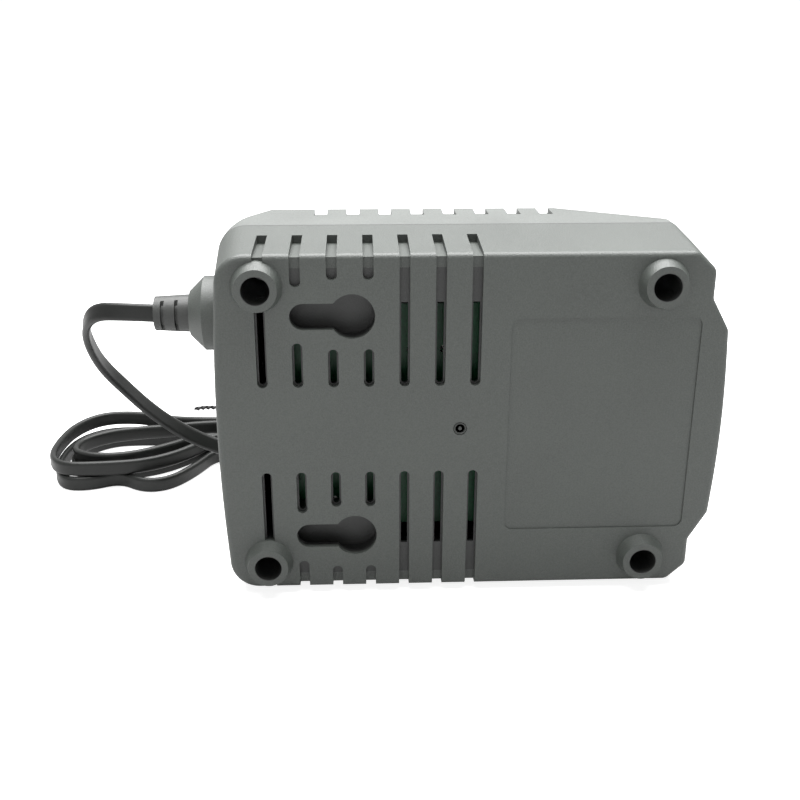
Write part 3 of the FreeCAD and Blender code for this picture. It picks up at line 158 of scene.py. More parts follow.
def solder_mesh(places):
    """Cones of revolution: circles of ring_radius at ring_rise below the board, joined by walls, the first
    one closed flat against the board and the last one closed flat as the tip."""
    shape = (len(ring_radius), JOINT_SIDES)
    rings = np.stack([ring_radius[:, None] * np.cos(turn), np.broadcast_to(-ring_rise[:, None], shape),
                      ring_radius[:, None] * np.sin(turn)], axis=-1).reshape(-1, 3)
    centres = np.column_stack([places[:, 0], np.full(len(places), BOARD_UNDERSIDE), places[:, 1]])
    points = (centres[:, None, :] + rings[None]).reshape(-1, 3)
    index = np.arange(len(rings)).reshape(shape)
    ahead = np.roll(index, -1, axis=1)
    sides = np.stack([index[:-1], ahead[:-1], ahead[1:], index[1:]], axis=-1).reshape(-1, 4)
    faces = []
    for start in range(0, len(points), len(rings)):
        faces += (sides + start).tolist() + [(index[0][::-1] + start).tolist(), (index[-1] + start).tolist()]
    mesh = bpy.data.meshes.new("solder_joints")
    mesh.from_pydata(((points + CASE_SHIFT) / 1000).tolist(), [], faces)
    return mesh


def placed(name, mesh, material, angle=0.6):
    """An object in the scene for a mesh, smooth except at sharp corners, riding on the case."""
    mesh.polygons.foreach_set("use_smooth", np.ones(len(mesh.polygons), bool))
    mesh.set_sharp_from_angle(angle=angle)
    mesh.validate()
    mesh.materials.append(material)
    piece = bpy.data.objects.new(name, mesh)
    bpy.context.scene.collection.objects.link(piece)
    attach(piece, "charger")
    return piece


solder = textured("solder", (0.62, 0.62, 0.6), 0.28, 1500.0, 1e-5, 0.15, 500.0, 1.0)
placed("solder_joints", solder_mesh(joint_places), solder)

# Mains side of the board
# Connector, fuse, film capacitor, choke, bridge and bulk capacitor, soldered upright;
# moulded cases, a shrink sleeve and a glass tube.
connector_white = textured("connector_white", (0.72, 0.71, 0.67), 0.5, 1500.0, 1e-5, 0.05)
film_yellow = textured("film_yellow", (0.6, 0.38, 0.04), 0.3, 800.0, 1e-5, 0.08)
choke_ferrite = textured("choke_ferrite", (0.05, 0.05, 0.055), 0.55, 1800.0, 2e-5, 0.2)
enamelled_copper = banded(textured("enamelled_copper", (0.5, 0.2, 0.07), 0.3, 1200.0, 1e-5, 0.12),
                          330.0, "Z", 0.5, 1.5e-4)
moulded_black = textured("moulded_black", (0.022, 0.022, 0.024), 0.5, 1600.0, 1.5e-5, 0.2)
sleeve_blue = textured("sleeve_blue", (0.015, 0.04, 0.13), 0.28, 500.0, 1e-5, 0.1)
dress(connector_white, "mains_connector")
dress(film_yellow, "suppression_capacitor")
dress(choke_ferrite, "filter_choke_core", "transformer_core")
dress(enamelled_copper, "filter_choke_windings")
dress(moulded_black, "bridge_rectifier", "switching_transistor", "optocoupler", "output_diode",
      "controller_chip")
dress(sleeve_blue, "bulk_capacitor", "output_capacitors")
fuse_glass = textured("fuse_glass", (0.8, 0.83, 0.82), 0.12, 900.0, 2e-6, 0.03)
fuse_glass.node_tree.nodes["Principled BSDF"].inputs["Transmission Weight"].default_value = 0.85
dress(fuse_glass, "fuse")

# Heat sinks and transformer
# Extruded aluminium fins, and a split ferrite core round a bobbin wound with copper
# and wrapped in yellow tape.
extruded_aluminium = banded(
    textured("extruded_aluminium", (0.6, 0.61, 0.62), 0.34, 1400.0, 8e-6, 0.08, 120.0, 1.0),
    700.0, "Z", 0.12, 8e-6)
dress(extruded_aluminium, "primary_heat_sink", "secondary_heat_sink")
nylon = textured("nylon", (0.52, 0.5, 0.42), 0.45, 1200.0, 1e-5, 0.06)
dress(nylon, "transformer_bobbin")
winding_tape = banded(textured("winding_tape", (0.62, 0.4, 0.05), 0.35, 700.0, 1e-5, 0.1),
                      90.0, "Y", 0.3, 1e-4)
dress(winding_tape, "transformer_winding")

# Status lights
# Two small diodes on the board under clear pipes of moulded plastic,
# which carry their light to the nose.
diode_lens = textured("diode_lens", (0.25, 0.55, 0.25), 0.15, 900.0, 2e-6, 0.05)
clear_pipe = textured("clear_pipe", (0.82, 0.88, 0.85), 0.14, 900.0, 4e-6, 0.03)
for lens in (diode_lens, clear_pipe):
    lens.node_tree.nodes["Principled BSDF"].inputs["Transmission Weight"].default_value = 0.6
dress(diode_lens, "status_leds")
dress(clear_pipe, "light_pipes")

# Terminals
# Spring blades in a black block on the deck, red wires down to the board, and the hood
# that a spring holds over the blades until a battery pushes it back.
blade_plate = banded(
    textured("blade_plate", (0.62, 0.6, 0.52), 0.25, 1800.0, 5e-6, 0.1, 300.0, 1.0),
    900.0, "Y", 0.1, 4e-6)
dress(blade_plate, "contact_blades", "plug_blades")
block_black = textured("block_black", (0.02, 0.02, 0.021), 0.42, 2200.0, 2e-5, 0.15)
dress(block_black, "terminal_block", "cord_clamp")
hood_black = textured("hood_black", (0.026, 0.027, 0.027), 0.5, 2600.0, 2.5e-5, 0.15)
dress(hood_black, "terminal_shutter")
red_insulation = textured("red_insulation", (0.33, 0.025, 0.02), 0.4, 1200.0, 1e-5, 0.1)
dress(red_insulation, "output_wires", "mains_leads")
spring_wire = textured("spring_wire", (0.5, 0.5, 0.49), 0.3, 2000.0, 4e-6, 0.1, 500.0, 1.0)

# Shutter spring
# A coil of spring wire on a pin that stands from the rear wall of the case.
# The hood presses it shorter by the whole of its travel; the coil here is made at the length of the CAD part.
def swept(name, line, wide, section):
    """A section carried along a line: at each point the section's first number goes along the width
    direction made square to the line, and its second along the cross product of line and width. The
    width direction is one for every point, or one for all."""
    heading = np.gradient(line, axis=0)
    heading /= np.linalg.norm(heading, axis=1)[:, None]
    wide = wide - (wide * heading).sum(1)[:, None] * heading
    wide /= np.linalg.norm(wide, axis=1)[:, None]
    thick = np.cross(heading, wide)
    grid = line[:, None] + section[..., :1] * wide[:, None] + section[..., 1:] * thick[:, None]
    return sheathed(name, grid)


def sheathed(name, grid):
    """A closed skin over a grid of points, rows along the piece and columns round it: each cell is a face,
    and each end is closed by a fan to its middle."""
    rows, columns = grid.shape[:2]
    index = np.arange(rows * columns).reshape(rows, columns)
    ahead = np.roll(index, -1, axis=1)
    sides = np.stack([index[:-1], ahead[:-1], ahead[1:], index[1:]], axis=-1).reshape(-1, 4)
    first, last = rows * columns, rows * columns + 1
    fans = np.concatenate([
        np.column_stack([np.full(columns, first), ahead[0], index[0]]),
        np.column_stack([np.full(columns, last), index[-1], ahead[-1]])])
    points = np.concatenate([grid.reshape(-1, 3), [grid[0].mean(0)], [grid[-1].mean(0)]])
    mesh = bpy.data.meshes.new(name)
    mesh.from_pydata(points.tolist(), [], sides.tolist() + fans.tolist())
    return mesh


SHUTTER_TRAVEL, SPRING_TURNS, WIRE_RADIUS = 0.013, 9, 0.0003
COIL_POINTS, WIRE_SIDES = 500, 10
spring_low, spring_high = (np.array(corner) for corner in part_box("shutter_spring"))
spring_middle = (spring_low + spring_high) / 2
coil_radius = (spring_high[2] - spring_low[2]) / 2 - WIRE_RADIUS
spring_length = spring_high[0] - spring_low[0]
coil_share = np.linspace(0, 1, COIL_POINTS)
coil_angle = 2 * np.pi * SPRING_TURNS * coil_share
# a helix: a circle about the spring's axis, whose X grows evenly with the angle
coil_out = np.column_stack([np.zeros(COIL_POINTS), np.cos(coil_angle), np.sin(coil_angle)])
coil_line = coil_radius * coil_out + spring_middle
coil_line[:, 0] = spring_low[0] + WIRE_RADIUS + coil_share * (spring_length - 2 * WIRE_RADIUS)
wire_turn = np.linspace(0, 2 * np.pi, WIRE_SIDES, endpoint=False)
wire_section = WIRE_RADIUS * np.column_stack([np.cos(wire_turn), np.sin(wire_turn)])
spring_coil = placed("spring_coil", swept("spring_coil", coil_line, coil_out, wire_section), spring_wire,
                     angle=1.2)
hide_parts("shutter_spring")
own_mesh(spring_coil)

# Case
# Two injection-moulded halves in charcoal plastic with a fine eroded texture,
# screwed together up through the hollow feet.
# The upper half is the same charcoal plastic as the base, painted a grey about twice as light as painted
# light.
CHARCOAL, UPPER_LIT_GREY = (0.057, 0.0645, 0.058), (0.114, 0.122, 0.115)
# The first tone below is painted shade: a near-black line for the gap where the case's halves meet.
# The second tone below is painted shade in the foot holes, the hanger pockets and the slots' walls.
SEAM_SHADE_TONE, POCKET_SHADE_TONE = (0.008, 0.008, 0.008, 1.0), (0.018, 0.019, 0.018, 1.0)
CASE_SPECULAR = 0.7
PARTING_Y, SEAM_HALF = 0.0007, 0.0003
POCKET_Y, INNER_HALF = -0.0288, (0.069, 0.0495)
FOOT_CENTRE, FOOT_HOLE_RADIUS = (0.0588, 0.0444), 0.00425


def painted(material, where, tone):
    """Turns a finish's colour into a tone where a socket gives 1."""
    tree = material.node_tree
    colour = tree.nodes["Principled BSDF"].inputs["Base Color"]
    mix = tree.nodes.new("ShaderNodeMix")
    mix.data_type = "RGBA"
    mix.inputs["B"].default_value = tone
    tree.links.new(where, mix.inputs["Factor"])
    tree.links.new(colour.links[0].from_socket, mix.inputs["A"])
    tree.links.new(mix.outputs["Result"], colour)
    return material


def split_place(tree):
    """The X, Y and Z of each point of a surface, in object space."""
    split = tree.nodes.new("ShaderNodeSeparateXYZ")
    tree.links.new(tree.nodes["Texture Coordinate"].outputs["Object"], split.inputs["Vector"])
    return split.outputs


def with_painted_seam_shade(material):
    """Paints a near-black line where the case's halves meet, SEAM_HALF to each side of PARTING_Y, as painted
    shade for the gap between them, and gives the finish the case's specular level."""
    tree = material.node_tree
    near = tree.nodes.new("ShaderNodeMath")
    near.operation = "COMPARE"
    near.inputs[1].default_value = PARTING_Y
    near.inputs[2].default_value = SEAM_HALF
    tree.links.new(split_place(tree)["Y"], near.inputs[0])
    tree.nodes["Principled BSDF"].inputs["Specular IOR Level"].default_value = CASE_SPECULAR
    return painted(material, near.outputs["Value"], SEAM_SHADE_TONE)


def with_painted_hollow_shade(material):
    """Darkens a finish inside the foot holes and deeper in than POCKET_Y, away from the outer walls, as
    painted shade where the holes, the coarse eroded floors of the hanger pockets and the slots' walls catch
    little light."""
    tree = material.node_tree

    def reckoned(operation, *sources):
        node = tree.nodes.new("ShaderNodeMath")
        node.operation = operation
        for socket, source in zip(node.inputs, sources):
            if isinstance(source, float):
                socket.default_value = source
            else:
                tree.links.new(source, socket)
        return node.outputs["Value"]

    place = split_place(tree)
    from_middle = [reckoned("ABSOLUTE", reckoned("SUBTRACT", place[axis], middle))
                   for axis, middle in (("X", CASE_SHIFT[0] / 1000), ("Z", CASE_SHIFT[2] / 1000))]
    inside = [reckoned("LESS_THAN", distance, limit) for distance, limit in zip(from_middle, INNER_HALF)]
    deep = reckoned("MULTIPLY", reckoned("GREATER_THAN", place["Y"], POCKET_Y), reckoned("MULTIPLY", *inside))
    legs = [reckoned("SUBTRACT", distance, centre) for distance, centre in zip(from_middle, FOOT_CENTRE)]
    squares = [reckoned("MULTIPLY", leg, leg) for leg in legs]
    in_hole = reckoned("LESS_THAN", reckoned("SQRT", reckoned("ADD", *squares)), FOOT_HOLE_RADIUS)
    return painted(material, reckoned("MAXIMUM", deep, in_hole), POCKET_SHADE_TONE)


# The base's finish gets painted shade in its hollows and at the seam.
dress(with_painted_hollow_shade(with_painted_seam_shade(textured("charcoal", CHARCOAL, 0.5, 2300.0, 9e-5, 0.3, 40.0))), "base_shell")
# The top's lighter grey is painted light and sheen, and it gets painted shade at the seam.
dress(with_painted_seam_shade(textured("upper_lit_grey", UPPER_LIT_GREY, 0.5, 2300.0, 9e-5, 0.3, 40.0)), "top_shell")

# Gate mark
# The nub and ring left in the middle of the base where the plastic was let into the mould,
# sunk in a shallow dimple.
GATE_X, DIMPLE_FLOOR, GATE_SIDES = 0.5, 0.3, 48
gate_radius = np.array([2.02, 1.86, 1.5, 1.34, 0.62, 0.46, 0.02])
gate_depth = np.array([DIMPLE_FLOOR, 0.04, 0.04, DIMPLE_FLOOR, DIMPLE_FLOOR, 0.06, 0.06])
gate_turn = np.linspace(0, 2 * np.pi, GATE_SIDES, endpoint=False)
# circles of gate_radius at gate_depth below the base face, from the dimple's rim to its middle
gate_grid = np.stack([GATE_X + gate_radius[:, None] * np.cos(gate_turn),
                      np.broadcast_to(gate_depth[:, None], (len(gate_depth), len(gate_turn))),
                      gate_radius[:, None] * np.sin(gate_turn)], axis=-1)
gate_plastic = textured("gate_plastic", (0.035, 0.039, 0.036), 0.45, 2300.0, 3e-5, 0.2)
placed("gate_mark", sheathed("gate_mark", (gate_grid + CASE_SHIFT) / 1000), gate_plastic,
       angle=0.5)

# Strain relief
# A short ribbed sleeve of soft black vinyl, moulded on the cord and gripped in the case wall,
# so that the cord isn't bent sharply where it comes out.
soft_vinyl = textured("soft_vinyl", (0.04, 0.042, 0.04), 0.48, 1800.0, 4e-5, 0.18, 150.0)
dress(soft_vinyl, "strain_relief")

# Flat cord
# Twin flat mains cord, 5.8 by 2.8 mm in black vinyl: out of the sleeve, down behind the case
# and into a loose hank that stands its flats upright, then out to the plug.
def spline_line(name, route):
    """The points of a NURBS curve of order three whose control points are the route's."""
    curve = bpy.data.curves.new(name, "CURVE")
    curve.dimensions = "3D"
    curve.resolution_u = 16
    spline = curve.splines.new("NURBS")
    spline.points.add(len(route) - 1)
    spline.points.foreach_set("co", np.column_stack([route, np.ones(len(route))]).ravel())
    spline.order_u = 3
    spline.use_endpoint_u = True
    guide = bpy.data.objects.new(name, curve)
    mesh = bpy.data.meshes.new_from_object(guide)
    line = np.empty(3 * len(mesh.vertices))
    mesh.vertices.foreach_get("co", line)
    bpy.data.objects.remove(guide)
    bpy.data.curves.remove(curve)
    bpy.data.meshes.remove(mesh)
    return line.reshape(-1, 3)


def evenly(line, step):
    """A line's points at even distances along it, and those distances."""
    run = np.concatenate([[0.0], np.cumsum(np.linalg.norm(np.diff(line, axis=0), axis=1))])
    along = np.linspace(0.0, run[-1], int(run[-1] / step) + 1)
    return np.column_stack([np.interp(along, run, line[:, axis]) for axis in range(3)]), along


CORD_LENGTH, CORD_WIDTH, CORD_THICKNESS = 1.6, 0.0058, 0.0028
CORD_STEP, CORD_SIDES = 0.0016, 20
FULLNESS, WEB_DIP, WEB_REACH = 2.5, 0.24, 0.0008
# the heights of the hank's lower and upper layer, in its bends and at its waist
LOW, HIGH = -53.05, -47.2
LOW_WAIST, HIGH_WAIST = -52.4, -46.5
cord_route = [
    # from the sleeve round to the back of the case
    (-93.8, 31.0, 28.2), (-104.0, 31.0, 28.8), (-114.5, 34.5, 28.0), (-120.2, 43.5, 19.5),
    (-120.0, 52.0, 8.2), (-118.0, 58.5, 0.0), (-113.5, 64.0, -8.5), (-108.0, 70.5, -18.5),
    (-101.0, 76.5, -28.0), (-92.0, 80.5, -35.8), (-80.0, 82.6, -41.8), (-66.5, 82.8, -45.9),
    (-53.5, 82.1, HIGH),
    # upper turn behind the case, then the outermost one on the left
    (-25.2, 82.1, HIGH), (-7.0, 100.3, HIGH), (-7.0, 125.9, HIGH), (-25.2, 144.1, HIGH),
    (-50.0, 143.0, HIGH), (-66.0, 121.8, HIGH_WAIST), (-94.0, 121.8, HIGH_WAIST), (-112.0, 126.0, HIGH),
    (-124.0, 130.0, HIGH + 0.8), (-139.0, 129.0, HIGH + 1.0), (-148.0, 118.0, HIGH + 0.6),
    (-151.0, 101.0, HIGH), (-150.0, 87.0, HIGH - 0.3), (-143.0, 79.0, HIGH), (-128.0, 79.4, HIGH),
    (-112.0, 81.5, HIGH), (-98.0, 92.0, HIGH), (-88.0, 107.0, HIGH_WAIST), (-66.0, 107.0, HIGH_WAIST),
    # second upper turn, the smallest on the left
    (-52.0, 88.5, HIGH), (-27.6, 88.1, HIGH), (-13.0, 102.7, HIGH), (-13.0, 123.5, HIGH),
    (-27.6, 138.1, HIGH), (-50.0, 137.0, HIGH), (-66.0, 118.4, HIGH_WAIST), (-94.0, 118.4, HIGH_WAIST),
    (-108.0, 116.5, HIGH), (-122.0, 114.5, HIGH), (-134.0, 111.5, HIGH - 0.3),
    (-142.5, 103.5, HIGH - 0.5), (-143.0, 93.5, HIGH - 0.5), (-134.0, 87.4, HIGH), (-120.0, 88.2, HIGH),
    (-106.0, 96.5, HIGH), (-94.0, 111.8, HIGH - 1.5), (-68.0, 112.0, -51.5),
    # down a layer, and the third turn
    (-52.0, 95.5, LOW), (-28.9, 94.1, LOW), (-16.0, 107.0, LOW), (-16.0, 125.2, LOW), (-28.9, 138.1, LOW),
    (-50.0, 137.0, LOW), (-66.0, 118.6, LOW_WAIST), (-94.0, 118.6, LOW_WAIST), (-108.0, 121.0, LOW),
    (-121.0, 122.0, LOW), (-134.0, 121.0, LOW), (-143.5, 111.0, LOW), (-145.0, 97.5, LOW),
    (-138.0, 86.2, LOW), (-122.0, 87.2, LOW), (-106.0, 93.5, LOW), (-92.0, 108.2, LOW_WAIST),
    (-66.0, 108.2, LOW_WAIST),
    # the last and widest turn, whose near run waves along the floor
    (-52.0, 89.0, LOW), (-26.4, 88.1, LOW), (-10.0, 104.5, LOW), (-10.0, 127.7, LOW), (-26.4, 144.1, LOW),
    (-50.0, 143.0, LOW), (-66.0, 122.0, LOW_WAIST), (-94.0, 122.0, LOW_WAIST), (-108.0, 126.5, LOW),
    (-122.0, 128.5, LOW), (-137.0, 128.0, LOW), (-146.5, 119.0, LOW), (-149.6, 105.0, LOW),
    (-148.8, 90.0, LOW), (-144.0, 79.0, LOW), (-134.0, 78.2, LOW), (-123.0, 84.0, LOW),
    (-113.0, 75.6, LOW), (-103.0, 77.5, LOW), (-95.0, 89.5, LOW), (-88.0, 104.6, LOW_WAIST),
    (-68.0, 104.6, LOW_WAIST), (-54.0, 84.5, LOW),
    # out to the plug
    (-33.8, 82.1, LOW), (-22.0, 82.1, LOW), (-9.0, 85.2, LOW + 0.8), (1.0, 92.4, -49.4),
    (9.0, 96.0, -48.0), (19.0, 96.0, -48.0)]
cord_guide = spline_line("cord_guide", (np.array(cord_route) + CASE_SHIFT) / 1000)
cord_line, cord_along = evenly(cord_guide, CORD_STEP)

# Two round cores side by side: a circle parted at its middle by a smooth step of FULLNESS, and drawn in by
# the share WEB_DIP over the web between them.
twin_angle = np.linspace(0, 2 * np.pi, CORD_SIDES, endpoint=False)
core_reach = CORD_WIDTH / 2 - CORD_THICKNESS / 2
section_wide = (core_reach * np.tanh(FULLNESS * np.cos(twin_angle)) / np.tanh(FULLNESS)
                + CORD_THICKNESS / 2 * np.cos(twin_angle))
web = 1 - WEB_DIP * np.exp(-(section_wide / WEB_REACH) ** 2)
section_thick = CORD_THICKNESS / 2 * np.sin(twin_angle) * web
twin_section = np.column_stack([section_wide, section_thick])
# The flat turns with the bends: upright at the sleeve, leaning over the fall, upright in the hank,
# level at the plug. Distances are from the sleeve, in metres.
turn_at = [0.0, 0.008, 0.03, 0.09, 0.15, cord_along[-1] - 0.05, cord_along[-1] - 0.012, cord_along[-1]]
turn_to = np.array([(0, 0, 1), (0, 0, 1), (0, 0.55, 0.83), (0, 0.6, 0.8), (0, 0, 1), (0, 0, 1),
                    (0, 1, 0.05), (0, 1, 0)])
cord_wide = np.column_stack([np.interp(cord_along, turn_at, turn_to[:, axis]) for axis in range(3)])

cord_vinyl = textured("cord_vinyl", (0.01, 0.011, 0.01), 0.38, 1500.0, 2e-5, 0.2, 120.0)
cord_vinyl.node_tree.nodes["Principled BSDF"].inputs["Specular IOR Level"].default_value = 0.32
dress(cord_vinyl, "cord_inner_end")
flat_cord = placed("flat_cord", swept("flat_cord", cord_line, cord_wide, twin_section), cord_vinyl,
                   angle=1.2)
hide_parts("cord_lead", "cord_hank", "cord_tail")

# Wire tie
# A thin vinyl strip with a wire in it, once round the hank's waist, with its two ends
# twisted together and left sticking out at the back.
WAIST_X, WAIST_Y, WAIST_Z = -80.0, 113.4, -49.4
LOOP_HALF_Y, LOOP_HALF_Z, LOOP_POWER, LOOP_POINTS = 10.9, 6.3, 0.32, 97
STRIP_WIDTH, STRIP_THICKNESS, STRIP_POWER, STRIP_SIDES = 0.004, 0.0005, 0.25, 12
TWIST_WIDTH, TWIST_THICKNESS, TWISTS, TWIST_POINTS = 0.0019, 0.0009, 4.5, 120
TIE_STEP = 0.0007
TWIST_BOW = (0.0, 1.0, 1.4)


def squared(angle, power):
    """A circle's cosine and sine pushed out towards a square's corners: the size of each to a power under 1,
    with its sign kept."""
    return [np.sign(wave) * np.abs(wave) ** power for wave in (np.cos(angle), np.sin(angle))]


def strip_section(width, thickness):
    """A rounded rectangle: half the width times the squared cosine, and half the thickness times the
    squared sine."""
    across, through = squared(np.linspace(0, 2 * np.pi, STRIP_SIDES, endpoint=False), STRIP_POWER)
    return np.column_stack([width / 2 * across, thickness / 2 * through])


# the band: a squared ellipse about the waist
loop_wide, loop_tall = squared(np.linspace(0, 2 * np.pi, LOOP_POINTS), LOOP_POWER)
tie_loop = np.column_stack([np.full(LOOP_POINTS, WAIST_X), WAIST_Y + LOOP_HALF_Y * loop_wide,
                            WAIST_Z + LOOP_HALF_Z * loop_tall])
tie_line, _ = evenly((tie_loop + CASE_SHIFT) / 1000, TIE_STEP)
tie_paper = banded(textured("tie_paper", (0.03, 0.03, 0.031), 0.45, 1400.0, 2e-5, 0.2), 500.0, "X", 0.3, 3e-5)
tie_mesh = swept("tie_band", tie_line, np.array([1.0, 0.0, 0.0]), strip_section(STRIP_WIDTH, STRIP_THICKNESS))
tie_band = placed("tie_band", tie_mesh, tie_paper)
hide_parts("twist_tie")

# the twisted ends: a straight line bowed by half a sine, whose width direction turns TWISTS times about it
twist_start, twist_end = np.array([WAIST_X, 122.5, -43.0]), np.array([-101.0, 136.5, -45.4])
twist_share = np.linspace(0, 1, TWIST_POINTS)
twist_bow = np.outer(np.sin(np.pi * twist_share), TWIST_BOW)
twist_line = (twist_start + twist_share[:, None] * (twist_end - twist_start) + twist_bow + CASE_SHIFT) / 1000
spin = 2 * np.pi * TWISTS * twist_share
side_way, up_way = np.array([0.67, 0.74, 0.0]), np.array([0.0, 0.0, 1.0])
twist_wide = np.cos(spin)[:, None] * side_way + np.sin(spin)[:, None] * up_way
twist_mesh = swept("tie_ends", twist_line, twist_wide, strip_section(TWIST_WIDTH, TWIST_THICKNESS))
tie_ends = placed("tie_ends", twist_mesh, tie_paper)

# Mains plug
# A moulded two-pole plug in black vinyl with finger grooves and a ringed neck. It is moulded on the
# cord's end round its blades, and lies behind the case.
PLUG_Y, PLUG_Z, PLUG_SIDES = 96.0, -48.0, 64
PLUG_BACK, NECK_END, BODY_BACK, PLUG_FRONT = 17.6, 29.0, 29.5, 60.0
SHOULDER_FROM, SHOULDER_TO, ROUNDING_FROM = 30.0, 33.0, 57.5
NECK_HALF, NECK_END_HALF, NECK_FLATNESS = 3.4, 4.6, 0.92
BODY_HALF_Y, BODY_HALF_Z, BODY_BACK_HALF_Z = 12.4, 7.95, 4.3
SHOULDER_LENGTH, SQUARING_LENGTH, SQUARING = 4.0, 5.0, 0.62
RING_RISE, RING_PITCH, RING_FLOOR = 0.45, 2.6, -0.4
FRONT_BEND, FRONT_BEND_LENGTH, FRONT_DRAW = 58.4, 1.75, 0.6
GRIP_DEPTH, GRIP_PITCH, GRIP_MIDDLE, GRIP_BACK, GRIP_FRONT = 0.55, 3.4, 38.0, 36.0, 52.0
# stations along the plug, close together in the neck, the shoulder and the rounded front
plug_x = np.concatenate([
    np.linspace(PLUG_BACK, SHOULDER_FROM, 40), np.linspace(SHOULDER_FROM, SHOULDER_TO, 10)[1:],
    np.linspace(SHOULDER_TO, ROUNDING_FROM, 90)[1:], np.linspace(ROUNDING_FROM, PLUG_FRONT, 10)[1:]])
# At each station the outline is a squared ellipse. Its halves follow the neck's cone with rings cut off
# below RING_FLOOR, then a quarter circle out to the body, less the grips' squared cosines.
ring_wave = np.clip(np.sin((plug_x - PLUG_BACK) * 2 * np.pi / RING_PITCH), RING_FLOOR, 1)
neck_rings = RING_RISE * ring_wave * (plug_x < NECK_END)
shoulder = np.clip((plug_x - BODY_BACK) / SHOULDER_LENGTH, 0, 1)
rounding = np.sqrt(1 - (1 - shoulder) ** 2)
front = np.sqrt(1 - np.clip((plug_x - FRONT_BEND) / FRONT_BEND_LENGTH, 0, 1) ** 2 * FRONT_DRAW)
grip_wave = np.clip(np.cos((plug_x - GRIP_MIDDLE) * 2 * np.pi / GRIP_PITCH), 0, 1)
grips = GRIP_DEPTH * grip_wave ** 2 * (plug_x > GRIP_BACK) * (plug_x < GRIP_FRONT)
neck_half = np.interp(plug_x, [PLUG_BACK, NECK_END], [NECK_HALF, NECK_END_HALF]) + neck_rings
body_half_y = NECK_END_HALF + (BODY_HALF_Y - NECK_END_HALF) * rounding
body_half_z = BODY_BACK_HALF_Z + (BODY_HALF_Z - BODY_BACK_HALF_Z) * rounding
half_y = np.where(plug_x < BODY_BACK, neck_half, body_half_y) * front - grips
half_z = np.where(plug_x < BODY_BACK, neck_half * NECK_FLATNESS, body_half_z) * front
plug_power = 1.0 - SQUARING * np.clip((plug_x - NECK_END) / SQUARING_LENGTH, 0, 1)
plug_wide, plug_tall = squared(np.linspace(0, 2 * np.pi, PLUG_SIDES, endpoint=False), plug_power[:, None])
plug_grid = np.stack([np.broadcast_to(plug_x[:, None], plug_wide.shape), PLUG_Y + half_y[:, None] * plug_wide,
                      PLUG_Z + half_z[:, None] * plug_tall], axis=-1)
plug_vinyl = textured("plug_vinyl", (0.022, 0.023, 0.023), 0.42, 2200.0, 3e-5, 0.15, 90.0)
plug_body = placed("plug_body", sheathed("plug_body", (plug_grid + CASE_SHIFT) / 1000), plug_vinyl,
                   angle=0.9)
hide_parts("mains_plug_body")

# Floor, light and camera
# A plain pale floor under a soft overhead light and one weak light from the front left, seen from where
# the photograph was taken.
FLOOR_HALF, FLOOR_NEAR, FLOOR_FAR = 60.0, -20.0, 120.0
FLOOR_GREY, FLOOR_ROUGHNESS, FLOOR_SPECULAR = 0.6, 0.9, 0.1


def seen_level(tree, unseen, camera, mirrored):
    """A level that is unseen for lighting rays, camera for rays from the camera, and mirrored for the rays
    of reflections and glass: the first plus each ray's own mark times its difference from the first."""
    path = tree.nodes.new("ShaderNodeLightPath")
    total = None
    for mark, height in (("Is Camera Ray", camera), ("Is Glossy Ray", mirrored),
                         ("Is Transmission Ray", mirrored)):
        step = tree.nodes.new("ShaderNodeMath")
        step.operation = "MULTIPLY_ADD"
        step.inputs[1].default_value = height - unseen
        step.inputs[2].default_value = unseen
        tree.links.new(path.outputs[mark], step.inputs[0])
        if total is not None:
            tree.links.new(total, step.inputs[2])
        total = step.outputs["Value"]
    return total


floor_paper = bpy.data.materials.new("floor_paper")
floor_paper.use_nodes = True
floor_shader = floor_paper.node_tree.nodes["Principled BSDF"]
floor_shader.inputs["Base Color"].default_value = (FLOOR_GREY, FLOOR_GREY, FLOOR_GREY, 1.0)
floor_shader.inputs["Roughness"].default_value = FLOOR_ROUGHNESS
floor_shader.inputs["Specular IOR Level"].default_value = FLOOR_SPECULAR
floor_shader.inputs["Emission Color"].default_value = (1.0, 1.0, 1.0, 1.0)
floor_paper.node_tree.links.new(seen_level(floor_paper.node_tree, 0.0, 0.85, 0.2),
                                floor_shader.inputs["Emission Strength"])
floor_mesh = bpy.data.meshes.new("floor")
floor_mesh.from_pydata([(-FLOOR_HALF, FLOOR_NEAR, 0), (FLOOR_HALF, FLOOR_NEAR, 0),
                        (FLOOR_HALF, FLOOR_FAR, 0), (-FLOOR_HALF, FLOOR_FAR, 0)], [], [(0, 1, 2, 3)])
floor_mesh.materials.append(floor_paper)
floor = bpy.data.objects.new("floor", floor_mesh)
bpy.context.scene.collection.objects.link(floor)

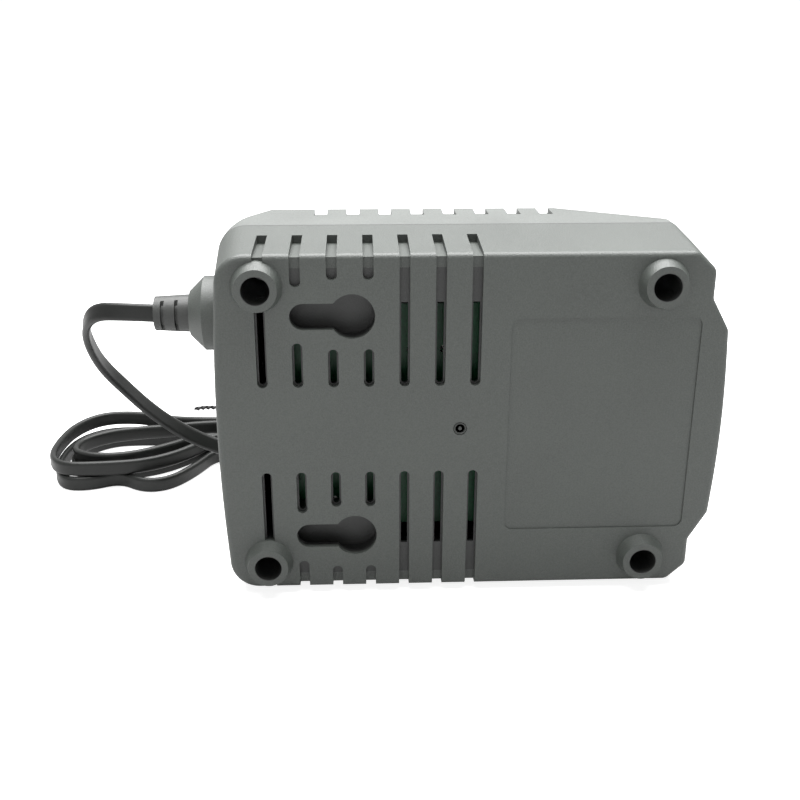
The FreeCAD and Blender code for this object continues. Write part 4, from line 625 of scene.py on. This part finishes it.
world = bpy.data.worlds.new("studio")
world.use_nodes = True
bpy.context.scene.world = world
sky = world.node_tree.nodes["Background"]
sky.inputs["Color"].default_value = (1.0, 1.0, 1.0, 1.0)
world.node_tree.links.new(seen_level(world.node_tree, 0.24, 1.0, 0.85), sky.inputs["Strength"])


def turned(axes, spot):
    """The matrix that turns an object's own axes to three directions and puts it at a spot."""
    return Matrix([[*row, place] for row, place in zip(np.column_stack(axes), spot)] + [[0, 0, 0, 1]])


def soft_light(name, spot, aim, size, power):
    """A square lamp of a size, at a spot, with its Z axis turned away from what it lights."""
    lamp = bpy.data.lights.new(name, "AREA")
    lamp.size = size
    lamp.energy = power
    holder = bpy.data.objects.new(name, lamp)
    away = np.array(spot, float) - np.array(aim, float)
    away /= np.linalg.norm(away)
    side = np.cross((0.0, 1.0, 0.0), away)
    side /= np.linalg.norm(side)
    up = np.cross(away, side)
    holder.matrix_world = turned((side, up, away), spot)
    bpy.context.scene.collection.objects.link(holder)


CASE_MIDDLE = (0.0, 0.0, 0.05)
soft_light("overhead", (0.0, 0.2, 0.95), CASE_MIDDLE, 1.1, 34.0)
soft_light("front_fill", (-0.45, -1.15, 0.45), CASE_MIDDLE, 0.8, 1.0)

# The camera looks down 20.86 degrees and 2.36 degrees to the right, and is turned 0.09 degrees.
PITCH, YAW, ROLL = np.radians([20.8565, 2.3592, 0.0877])
forward = np.array([np.sin(YAW) * np.cos(PITCH), np.cos(YAW) * np.cos(PITCH), -np.sin(PITCH)])
level_right = np.array([np.cos(YAW), -np.sin(YAW), 0.0])
level_up = np.cross(level_right, forward)
right = level_right * np.cos(ROLL) + level_up * np.sin(ROLL)
up = -level_right * np.sin(ROLL) + level_up * np.cos(ROLL)
CAMERA_SPOT = (-0.024425, -0.32412, 0.17759)
SENSOR_WIDTH, LENS_LENGTH, NEAREST_SEEN = 36.0, 47.477, 0.01
lens = bpy.data.cameras.new("camera")
lens.sensor_width = SENSOR_WIDTH
lens.lens = LENS_LENGTH
lens.clip_start = NEAREST_SEEN
camera = bpy.data.objects.new("camera", lens)
camera.matrix_world = turned((right, up, -forward), CAMERA_SPOT)
bpy.context.scene.collection.objects.link(camera)
bpy.context.scene.camera = camera
bpy.context.scene.view_settings.view_transform = "Standard"
